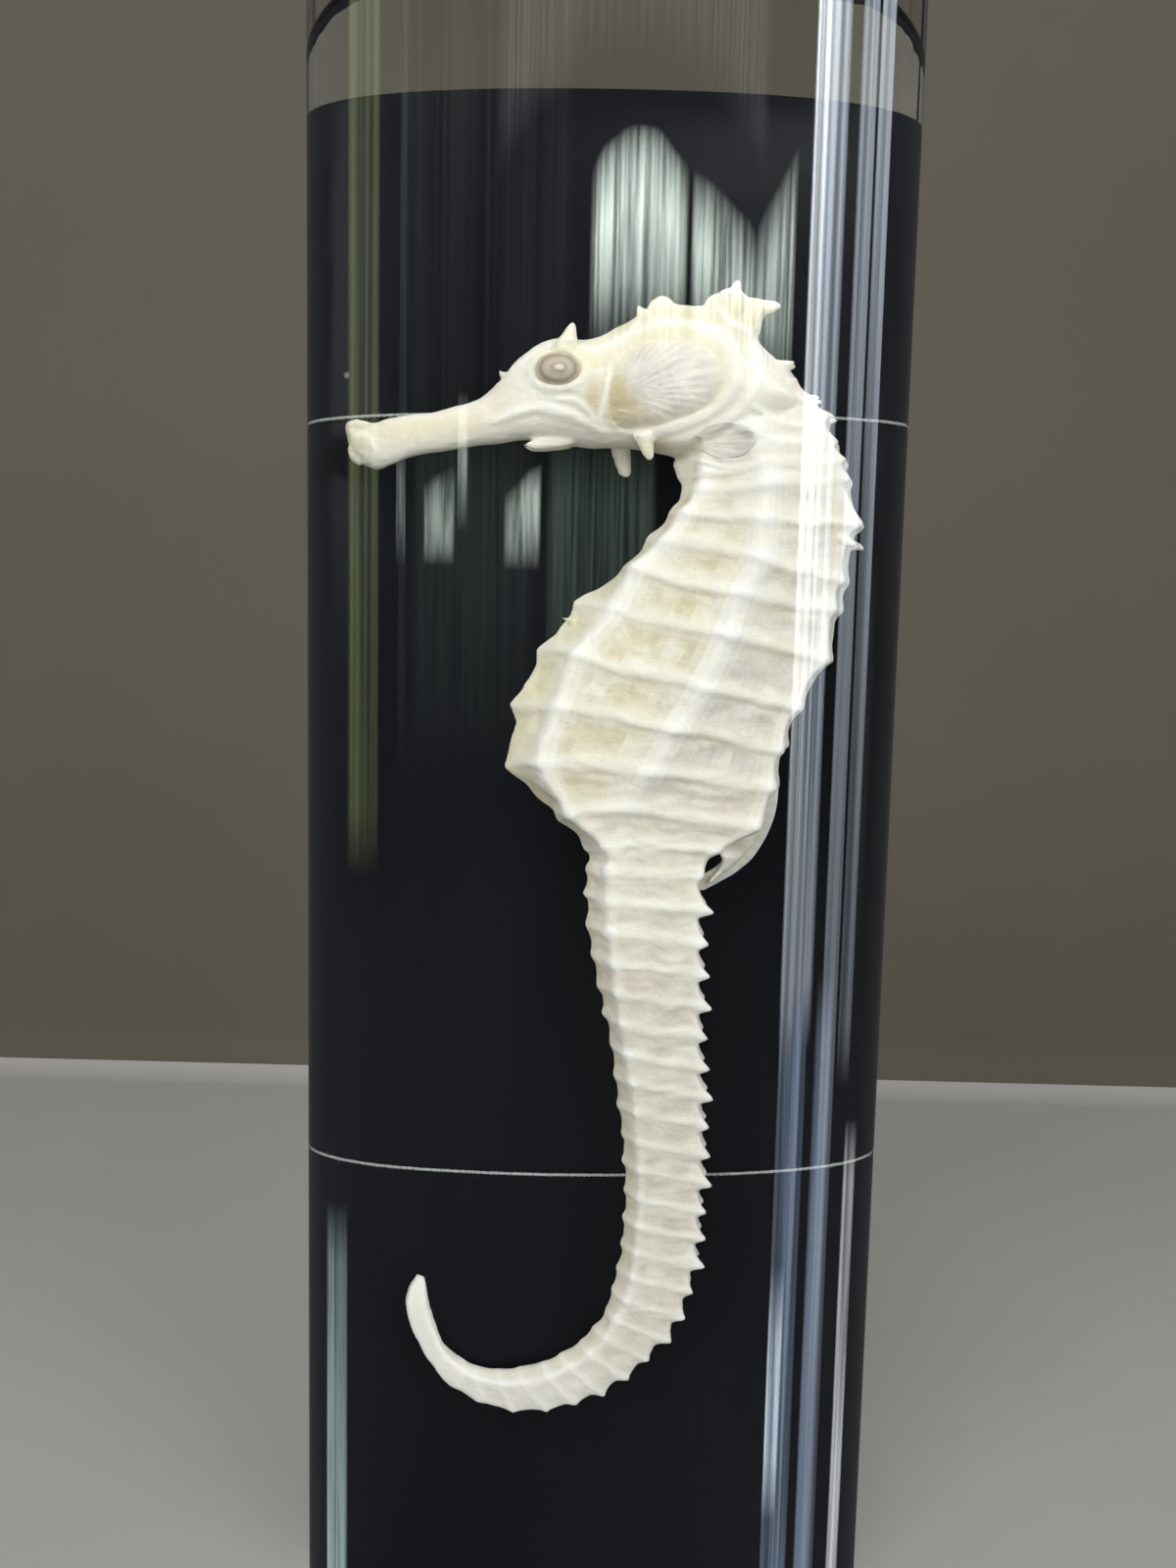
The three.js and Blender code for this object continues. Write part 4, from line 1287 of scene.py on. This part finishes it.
def make_seahorse():
    """The body: trunk, tail, head and fin base as one remeshed skin, with relief and tints on the head."""
    surface, facts = body_surface()
    shell = Shell()
    shell.add_rings(surface)
    shell.add_rings(head_surface())
    shell.add_rings(lobe_rings())
    add_head_parts(shell)
    shell.vertices = [specimen_to_frame(v) for v in shell.vertices]
    body = shell.object("seahorse")
    mesh = remeshed(body, VOXEL)
    points, edges = mesh_arrays(mesh)
    points = relaxed(points, edges, SMOOTHING)
    set_points(mesh, points)

    normal = normals_of(mesh)
    x, z = points[:, 0], points[:, 2] - SPECIMEN_LEVEL
    neck = smoothstep(z - NECK_SLOPE * x, NECK_LOW, NECK_HIGH)
    reach = neck > 0
    height = np.zeros(len(points))
    head_facts = {name: np.zeros(len(points)) for name in facts}
    height[reach], found = head_relief(x[reach], z[reach])
    for name, values in found.items():
        head_facts[name][reach] = values
    sideways = np.abs(normal[:, 1]) ** 1.5
    lumps = ripples(points, 5, 3.1) * 0.06 + ripples(points, 6, 1.0) * 0.03
    points = points + normal * ((height * sideways + lumps) * neck)[:, None]
    set_points(mesh, points)

    tree = search_tree(specimen_to_frame(surface).reshape(-1, 3))
    nearest = np.array([tree.find(point)[1] for point in points])
    for name, values in facts.items():
        on_body = values.reshape(-1)[nearest]
        float_attribute(body, name, on_body * (1 - neck) + head_facts[name] * neck)
    shade_smooth(mesh)
    mesh.materials.clear()
    mesh.materials.append(skin_material())
    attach(body, "mount")
    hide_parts("seahorse_body")
    return body


# ---------------------------------------------------------------- eyes
def make_eye(name, node, side):
    """A flattened ball with a low bulge for the lens, and a shallow groove round it."""
    centre = sum(box_mm(node)) / 2
    wide, tall, deep, proud = 2.05, 1.68, 1.25, 0.15
    sides = 64
    turn = full_turn(sides)
    rings = []
    ring_facts = []
    for a in np.linspace(0.02, math.pi - 0.02, 48):
        radius = math.sin(a)
        depth = math.cos(a)
        lens = 0.12 * math.exp(-((radius / 0.3) ** 2))
        bulge = lens - 0.05 * math.exp(-(((radius - 0.5) / 0.12) ** 2))
        ring = np.stack(
            [
                centre[0] + wide * radius * np.cos(turn) * side,
                np.full(sides, centre[1] + side * (proud + deep * (depth + (bulge if depth > 0 else 0)))),
                centre[2] + tall * radius * np.sin(turn),
            ],
            -1,
        )
        rings.append(ring)
        ring_facts.append(np.full(sides, radius if depth > 0 else 1.0))
    shell = Shell()
    shell.add_rings(rings)
    eye = shell.object(name)
    float_attribute(eye, "ring", np.concatenate(ring_facts))
    eye.data.materials.append(clouded_eye)
    fix_normals(eye)
    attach(eye, "mount")
    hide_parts(node)


def fix_normals(obj):
    """Turns a closed mesh inside out if its faces point inwards."""
    mesh = obj.data
    mesh.calc_loop_triangles()
    count = len(mesh.loop_triangles)
    corners = np.zeros(count * 3, np.int64)
    mesh.loop_triangles.foreach_get("vertices", corners)
    points, _ = mesh_arrays(mesh)
    a, b, c = points[corners.reshape(-1, 3)].transpose(1, 0, 2)
    volume = (np.cross(a, b) * c).sum()
    if volume < 0:
        mesh.flip_normals()


# ---------------------------------------------------------------- fins
# The rims of the dorsal fin and of a pectoral fin, and the pectoral fin's root (x, z each).
DORSAL_RIM = [
    (14.2, -9.6), (16.0, -11.4), (16.7, -14.2), (16.4, -17.4), (15.1, -20.9), (13.1, -23.5), (10.0, -25.7),
]
PECTORAL_RIM = [(9.0, 23.6), (11.0, 24.0), (12.9, 23.4), (13.5, 22.0), (12.2, 20.6), (10.0, 20.3)]
PECTORAL_ROOT = [(7.9, 22.2), (8.2, 22.4), (8.5, 22.3), (8.6, 21.9), (8.5, 21.5), (8.2, 21.3)]
DORSAL_RAYS, PECTORAL_RAYS = 17, 12


def blade(name, node, outer, inner, thickness, offset, rays, material):
    """A fin: thick at its root (inner), thin at its rim (outer), with fine rays across it."""
    rows, columns = 90, 26
    v = np.linspace(0, 1, rows)
    rim = spline(outer, v * (len(outer) - 1))
    root = spline(inner, v * (len(inner) - 1))
    u = np.linspace(0, 1, columns)
    grid = root[:, None] * (1 - u)[None, :, None] + rim[:, None] * u[None, :, None]
    ends = np.sin(math.pi * np.clip(v, 0.02, 0.98)) ** 0.35
    thick = ends[:, None] * (thickness[0] * (1 - u) ** 1.1 + thickness[1])[None]
    ray = 0.5 + 0.5 * np.cos(2 * math.pi * rays * v)[:, None] + 0 * u
    thick = thick * (1 + 0.12 * ray * u)
    thick[:, -1] *= 0.35
    middle = MID_PLANE + offset(u, v, grid)
    near = np.stack([grid[..., 0], middle - thick, grid[..., 1]], -1)
    far = np.stack([grid[..., 0], middle + thick, grid[..., 1]], -1)
    loop = np.concatenate([near, far[:, ::-1]], axis=1)
    shell = Shell()
    shell.add_rings(specimen_to_frame(loop))
    fin = shell.object(name)
    rim_fact = smoothstep(u, 0.84, 0.98)[None] + 0 * ray
    float_attribute(fin, "ray", np.concatenate([ray, ray[:, ::-1]], 1).ravel())
    float_attribute(fin, "rim", np.concatenate([rim_fact, rim_fact[:, ::-1]], 1).ravel())
    fin.data.materials.append(material)
    fix_normals(fin)
    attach(fin, "mount")
    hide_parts(node)


def flank_height(body, side):
    """Gives a function: how far the body's near (side -1) or far flank stands from the middle plane."""
    points, _ = mesh_arrays(body.data)
    normal = normals_of(body.data)
    points[:, 2] -= SPECIMEN_LEVEL
    near_the_fin = (points[:, 0] > 5) & (points[:, 2] > 15) & (points[:, 2] < 28)
    flank = points[near_the_fin & (normal[:, 1] * side > 0.3)]
    tree = search_tree([(x, 0, z) for x, _, z in flank])

    def height(x, z):
        found = [tree.find_n((px, 0, pz), 12) for px, pz in zip(x.ravel(), z.ravel())]
        across = [np.mean([flank[i][1] for _, i, _ in near]) for near in found]
        return np.array(across).reshape(x.shape) - MID_PLANE

    return height


def make_fins(body):
    def flat(u, v, grid):
        return 0.25 * np.sin(v * 9.0)[:, None] * u[None]

    root = [(x - 2.0, z + 0.5) for x, z in DORSAL_RIM]
    blade(
        "dorsal_fin_blade", "dorsal_fin", DORSAL_RIM, root, (0.6, 0.16), flat, DORSAL_RAYS, dorsal_membrane
    )
    for side, name in ((-1, "near"), (1, "far")):
        height = flank_height(body, side)

        def folded(u, v, grid, side=side, height=height):
            ruffle = 0.05 * np.sin(v * 34.0)[:, None] * u[None]
            return height(grid[..., 0], grid[..., 1]) + side * (0.03 + 0.07 * u[None] + ruffle)

        blade(
            f"{name}_pectoral_fan", f"{name}_pectoral_fin", PECTORAL_RIM, PECTORAL_ROOT, (0.2, 0.05),
            folded, PECTORAL_RAYS, pectoral_membrane,
        )


# ---------------------------------------------------------------- threads
THREAD_RADIUS = 0.18
THREAD_BEND = 0.8
PLY_OFFSET, PLY_RADIUS, PLY_STEP, PLY_SIDES = 0.085, 0.1, 0.11, 6
FIBRES = 420
FIBRE_RADIUS = 0.014
TAIL_DROP = 4.5


def thread_path(node):
    """The route of a CAD thread: across the front, round both notches and across the back."""
    points = np.array([v.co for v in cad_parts[node].data.vertices]) / MM
    on_front = points[points[:, 1] < PLATE_FRONT - 0.1]
    slope, level = np.polyfit(on_front[:, 0], on_front[:, 2], 1)
    low, high = points[:, 0].min(), points[:, 0].max()
    left, right = low + THREAD_RADIUS, high - THREAD_RADIUS
    front, back = PLATE_FRONT - PLATE_GAP - THREAD_RADIUS, PLATE_BACK + PLATE_GAP + THREAD_RADIUS
    knot = points[points[:, 1] > back + 0.4][:, 0].mean()
    bend = THREAD_BEND

    def at(x, y):
        return (x, y, level + slope * x)

    def corner(x, y, start):
        return [at(px, py) for px, py in arc(x, y, bend, start, start + 90, 5)]

    run = np.linspace(-1, 1, 60)
    inside_right, inside_left = right - bend, left + bend
    route = [at(x, back) for x in np.linspace(knot - 0.6, inside_left, 40)]
    route += corner(inside_left, back - bend, 90) + corner(inside_left, front + bend, 180)
    middle, half = (inside_left + inside_right) / 2, (inside_right - inside_left) / 2 * 0.985
    route += [at(middle + half * t, front + 0.06 * math.sin(t * 11)) for t in run]
    route += corner(inside_right, front + bend, 270) + corner(inside_right, back - bend, 0)
    route += [at(x, back) for x in np.linspace(inside_right, knot + 0.6, 20)[1:]]
    return np.array(route), np.array(at(knot, back + 0.15))


def resampled(path, step):
    """The path with a point about every step, and how far along it each point is."""
    gaps = np.linalg.norm(np.diff(path, axis=0), axis=1)
    keep = np.concatenate([[True], gaps > 1e-4])
    path = path[keep]
    length = np.concatenate([[0], np.cumsum(np.linalg.norm(np.diff(path, axis=0), axis=1))])
    places = np.linspace(0, length[-1], int(length[-1] / step) + 1)
    return np.stack([np.interp(places, length, path[:, k]) for k in range(3)], -1), places


def twisted(shell, path, twist=1.05):
    """Two plies wound round each other along path, once in every length of twist."""
    path, places = resampled(np.asarray(path), PLY_STEP)
    rings = tube_rings(path, 1.0, 4)
    normal, binormal = rings[:, 0] - path, rings[:, 1] - path
    turn = places * 2 * math.pi / twist
    fade = np.clip(np.minimum(places, places[-1] - places) / 0.3, 0.15, 1)
    for start in (0, math.pi):
        offset = normal * np.cos(turn + start)[:, None] + binormal * np.sin(turn + start)[:, None]
        shell.add_tube(path + offset * PLY_OFFSET, PLY_RADIUS * fade, PLY_SIDES)
    return path, normal, binormal


def make_thread(name, node, seed):
    """A twisted thread round the plate with loose fibres, and its knot with two short ends behind."""
    path, knot = thread_path(node)
    shell = Shell()
    path, normal, binormal = twisted(shell, path)
    draw = np.random.default_rng(seed)
    for _ in range(FIBRES):
        i = draw.integers(4, len(path) - 6)
        angle = draw.uniform(0, 2 * math.pi)
        out = normal[i] * math.cos(angle) + binormal[i] * math.sin(angle)
        along = path[i + 1] - path[i]
        along /= np.linalg.norm(along)
        length = draw.uniform(0.25, 0.75)
        curl = draw.normal(size=3) * 0.12
        t = np.linspace(0, 1, 5)[:, None]
        lean = draw.uniform(-0.9, 0.9)
        fibre = path[i] + out * (0.1 + 0.5 * length * t) + along * (lean * length * t) + curl * t**2
        touching = PLATE_FRONT - 0.03
        in_plate = (fibre[:, 1] > touching) & (path[i][1] < PLATE_FRONT)
        fibre[:, 1] = np.where(in_plate, touching, fibre[:, 1])
        shell.add_tube(fibre, FIBRE_RADIUS * (1 - 0.7 * t[:, 0]), 3)
    turn = full_turn(60)
    loop = np.stack(
        [
            knot[0] + 0.42 * (np.sin(turn) + 2 * np.sin(2 * turn)) * 0.5,
            knot[1] + 0.22 + 0.2 * np.sin(3 * turn),
            knot[2] + 0.42 * (np.cos(turn) - 2 * np.cos(2 * turn)) * 0.5,
        ],
        -1,
    )
    twisted(shell, np.vstack([loop, loop[:1]]), twist=0.8)
    for reach in (1.6, -1.1):
        t = np.linspace(0, 1, 24)[:, None]
        start = knot + np.array([0, 0.1, 0])
        end = np.array([reach * t[:, 0], 0.25 * np.sin(t[:, 0] * math.pi), -TAIL_DROP * t[:, 0] ** 1.2]).T
        twisted(shell, start + end)
    thread = shell.object(name)
    thread.data.materials.append(cotton)
    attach(thread, "mount")
    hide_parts(node)


# ---------------------------------------------------------------- plate
def finish_plate():
    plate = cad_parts["backing_plate"]
    plate.data.materials.clear()
    plate.data.materials.append(acrylic_material())
    bevel = plate.modifiers.new("sawn edge", "BEVEL")
    bevel.width = 0.12 * MM
    bevel.segments = 2
    bevel.limit_method = "ANGLE"


# ---------------------------------------------------------------- studio
WALL_PLACE, STAGE_REACH, WALL_TOP, WALL_BEND = 205.0, 2600.0, 3000.0, 14.0
FLOOR_COLOUR, WALL_COLOUR = (0.62, 0.61, 0.58), (0.185, 0.167, 0.13)


def stage_material(name, colour):
    """A matt stage surface that can be looked through from behind, so that the jar's back can be seen."""
    s = Shader(name)
    grain = s.noise(14.0, 3.0)
    tint = s.mix(s.span(grain, 0.3, 0.7), colour, tuple(c * 0.96 for c in colour))
    matt = s.principled(base_color=tint, roughness=0.85, specular_ior_level=0.1)
    mixed = s.node("ShaderNodeMixShader", {"Fac": s.node("ShaderNodeNewGeometry").outputs["Backfacing"]})
    s.set(mixed.inputs[1], matt)
    s.set(mixed.inputs[2], s.node("ShaderNodeBsdfTransparent"))
    return s.finish(mixed)


def make_studio():
    """A pale floor that bends up into a grey wall behind the jar, and a dim, even world."""
    foot = WALL_PLACE - WALL_BEND
    profile = [(-STAGE_REACH, 0.0), (foot, 0.0)]
    profile += [
        (foot + WALL_BEND * math.sin(a), WALL_BEND * (1 - math.cos(a)))
        for a in np.linspace(0, math.pi / 2, 8)
    ]
    profile += [(WALL_PLACE, WALL_TOP)]
    below_the_jar = 0.02
    vertices = [(x, y, z - below_the_jar) for y, z in profile for x in (-STAGE_REACH, STAGE_REACH)]
    faces = [(2 * i, 2 * i + 1, 2 * i + 3, 2 * i + 2) for i in range(len(profile) - 1)]
    wall_from = len(profile) - 6
    backdrop = mesh_object("backdrop", vertices, faces)
    backdrop.data.materials.append(stage_material("pale floor", FLOOR_COLOUR))
    backdrop.data.materials.append(stage_material("grey backdrop", WALL_COLOUR))
    for i, polygon in enumerate(backdrop.data.polygons):
        polygon.material_index = int(i >= wall_from)
    backdrop.visible_glossy = False

    world = bpy.data.worlds.new("studio")
    bpy.context.scene.world = world
    world.use_nodes = True
    background = world.node_tree.nodes["Background"]
    background.inputs["Color"].default_value = (0.10, 0.10, 0.105, 1)
    background.inputs["Strength"].default_value = 0.5


def area_light(name, place, target, size, power, colour=(1, 1, 1)):
    """A rectangular lamp at place that faces target; its size is in millimetres, its power in watts."""
    data = bpy.data.lights.new(name, "AREA")
    data.shape = "RECTANGLE"
    data.size, data.size_y = size[0] * MM, size[1] * MM
    data.energy = power
    data.color = colour
    light = bpy.data.objects.new(name, data)
    bpy.context.scene.collection.objects.link(light)
    light.location = Vector(place) * MM
    aim = (Vector(target) - Vector(place)).normalized()
    light.rotation_mode = "QUATERNION"
    light.rotation_quaternion = aim.to_track_quat("-Z", "Y")
    return light


CAMERA_PLACE = (0.46, -152.5, 125.0)
STRIP_DISTANCE = 150.0
SOFT_END = 14.0


def mirrored_in_wall(bearing):
    """Where a light stands, round the jar, to be mirrored in its wall at this bearing from the camera,
    in degrees to the right of the jar's axis. Gives the light's place and the point of the wall."""
    side = math.sin(math.radians(bearing)) * -CAMERA_PLACE[1] / JAR_RADIUS
    strike = math.asin(side)
    normal = strike - math.radians(bearing)
    out = normal + strike
    wall = Vector((JAR_RADIUS * math.sin(normal), -JAR_RADIUS * math.cos(normal)))
    ray = Vector((math.sin(out), -math.cos(out)))
    along = -wall.dot(ray) + math.sqrt(wall.dot(ray) ** 2 + STRIP_DISTANCE**2 - JAR_RADIUS**2)
    return wall + ray * along, wall


def strip_light(name, bearing, width, brightness, colour, low, high, arch=0.0, slant=0.0):
    """A tall panel that shows as an upright streak on the glass: bearing and width in degrees as the camera
    sees them, brightness at its foot and top. It has soft edges and uneven bars. An arch lowers its top
    edge at both sides, and a slant lowers it to the right, or to the left where it is negative."""
    left, _ = mirrored_in_wall(bearing - width / 2)
    right, _ = mirrored_in_wall(bearing + width / 2)
    middle, wall = mirrored_in_wall(bearing)
    height = high - low
    size = ((right - left).length, height)
    centre_z = low + height / 2
    area = size[0] * size[1] * MM * MM
    light = area_light(name, (*middle, centre_z), (*wall, centre_z), size, area * math.pi, colour)
    light.visible_camera = False
    light.visible_diffuse = False
    light.visible_transmission = False

    s = Shader(name, light.data)
    place = s.node("ShaderNodeSeparateXYZ", {0: s.node("ShaderNodeNewGeometry").outputs["Parametric"]})
    u, v = place.outputs[0], place.outputs[1]
    to_side = s.times(u, s.math("SUBTRACT", 1.0, u))
    top = s.math("SUBTRACT", 1.0, s.times(s.math("SUBTRACT", 0.25, to_side), 4 * arch))
    lowered = u if slant > 0 else s.math("SUBTRACT", 1.0, u)
    top = s.math("SUBTRACT", top, s.times(lowered, abs(slant)))
    soft = SOFT_END / height
    ends = s.times(s.span(v, 0.0, soft), s.span(s.math("SUBTRACT", top, v), 0.0, soft))
    shape = s.times(ends, s.span(to_side, 0.0, 0.09))
    where = s.node("ShaderNodeCombineXYZ", {0: s.times(u, 5.0 * width), 1: v, 2: bearing})
    bars = s.span(s.noise(1.0, 3.0, 0.6, vector=where.outputs[0]), 0.36, 0.62, 0.3, 1.25)
    rise = s.times(s.math("POWER", v, 1.6), brightness[1] - brightness[0])
    level = s.times(s.math("ADD", rise, brightness[0]), s.times(shape, bars))
    s.finish(s.node("ShaderNodeEmission", {"Color": (1.0, 1.0, 1.0, 1.0), "Strength": level}))


# The soft lamps: name, place, width and height, power, colour.
LAMPS = [
    ("key", (-170, -440, 480), (360, 260), 1.42, (1, 0.995, 0.98)),
    ("fill", (340, -400, 300), (300, 260), 0.95, (0.97, 0.98, 1)),
    ("side", (-360, -330, 90), (260, 300), 0.5, (1, 1, 0.98)),
    ("rear", (200, 520, 420), (300, 300), 0.8, (0.97, 0.98, 1)),
]
LAMP_TARGET = (0, -8, 130)


def make_lights():
    """The soft lamps leave no mirror image; the rear one isn't seen through the glass either."""
    for name, place, size, power, colour in LAMPS:
        lamp = area_light(name, place, LAMP_TARGET, size, power, colour)
        lamp.visible_glossy = False
        lamp.visible_camera = False
        lamp.visible_transmission = name != "rear"
    area_light("back wash", (0, 120, 620), (0, 205, 120), (900, 200), 0.6)
    for streak in STREAKS:
        strip_light(*streak)


WHITE, COOL, BLUE = (0.93, 0.96, 1.0), (0.76, 0.86, 1.0), (0.55, 0.72, 1.0)
OLIVE, TEAL, SAGE = (0.8, 1.0, 0.45), (0.7, 0.95, 0.9), (0.86, 1.0, 0.9)
LEAF = (0.72, 1.0, 0.76)
# Name, bearing, width, brightness at the foot and the top, colour, lower and upper end, arch and slant.
STREAKS = [
    ("window", 9.5, 1.5, (5.0, 15.0), COOL, 46, 330),
    ("window bright", 9.05, 0.5, (1.5, 22.0), WHITE, 40, 330),
    ("window foot", 9.45, 1.25, (2.9, 3.8), BLUE, -90, 60),
    ("window foot side", 10.75, 0.75, (1.9, 2.6), BLUE, -90, 60),
    ("frame", 11.0, 0.8, (0.8, 5.5), COOL, -90, 330),
    ("frame side", 11.75, 0.5, (0.9, 6.0), COOL, 34, 330),
    ("low edge", 12.2, 0.55, (2.4, 2.2), WHITE, -100, 25),
    ("low patch", 9.1, 0.6, (8.0, 6.0), COOL, -56, 0),
    ("pale panel", 1.25, 4.5, (4.5, 40.0), SAGE, 178, 219, 0.14),
    ("pale panel right", 5.0, 3.0, (7.0, 30.0), SAGE, 178, 214, 0.0, 0.32),
    ("pale panel edge", 7.15, 2.1, (6.0, 17.0), SAGE, 172, 220, 0.0, -0.42),
    ("upper glow", 1.0, 21.0, (0.9, 1.3), WHITE, 229, 330),
    ("left", -10.9, 1.4, (0.8, 1.1), OLIVE, 78, 330),
    ("left thin", -9.15, 0.25, (0.3, 2.4), TEAL, 100, 330),
    ("left room", -5.6, 9.0, (0.02, 0.6), SAGE, 84, 330),
    ("room glow", -0.2, 5.4, (0.7, 1.5), LEAF, 112, 166),
    ("room dim", -6.0, 6.0, (0.12, 0.5), LEAF, 100, 170),
    ("left low", -12.0, 0.9, (2.0, 0.9), TEAL, -110, 4),
    ("small pane", -3.75, 1.6, (14.0, 40.0), SAGE, 140, 160, 0.0, -0.32),
    ("middle pane", -7.5, 1.4, (13.0, 22.0), SAGE, 141, 160, 0.0, -0.2),
    ("middle pane right", -6.42, 0.6, (6.5, 8.0), SAGE, 147, 173),
    ("thin pane", -9.2, 0.3, (5.0, 7.0), SAGE, 141, 163),
]


# ---------------------------------------------------------------- camera
def make_camera():
    """Close and wide, a little above the specimen's middle, looking slightly down."""
    pitch, roll, yaw = math.radians(6.036), math.radians(1.253), math.radians(-0.670)
    data = bpy.data.cameras.new("camera")
    data.lens = 28.53
    data.sensor_width = 36.0
    data.clip_start = 0.005
    data.clip_end = 50.0
    camera = bpy.data.objects.new("camera", data)
    bpy.context.scene.collection.objects.link(camera)
    tilt = Matrix.Rotation(-pitch, 3, "X")
    turn = Matrix.Rotation(-yaw, 3, "Z")
    lean = Matrix.Rotation(-roll, 3, "Y")
    right, forward, up = (turn @ tilt @ lean @ Vector(v) for v in ((1, 0, 0), (0, 1, 0), (0, 0, 1)))
    rotation = Matrix((right, up, -forward)).transposed()
    camera.matrix_world = Matrix.Translation(Vector(CAMERA_PLACE) * MM) @ rotation.to_4x4()
    bpy.context.scene.camera = camera


clouded_eye = eye_material()
dorsal_membrane = fin_material(
    "dorsal membrane", (0.66, 0.60, 0.50), (0.76, 0.72, 0.62), (0.72, 0.78, 0.84)
)
pectoral_membrane = fin_material(
    "pectoral membrane", (0.72, 0.63, 0.53), (0.84, 0.77, 0.66), (0.90, 0.85, 0.75)
)
cotton = cotton_material()

make_jar()
fluid_column = make_fluid()
make_lid()
make_seal()
finish_plate()
seahorse = make_seahorse()
make_eye("near_eye_ball", "near_eye", -1)
make_eye("far_eye_ball", "far_eye", 1)
make_fins(seahorse)
make_thread("upper_cotton", "upper_thread", 11)
make_thread("lower_cotton", "lower_thread", 12)
make_studio()
make_lights()
make_camera()
bpy.context.scene.view_settings.view_transform = "Standard"

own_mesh(fluid_column)
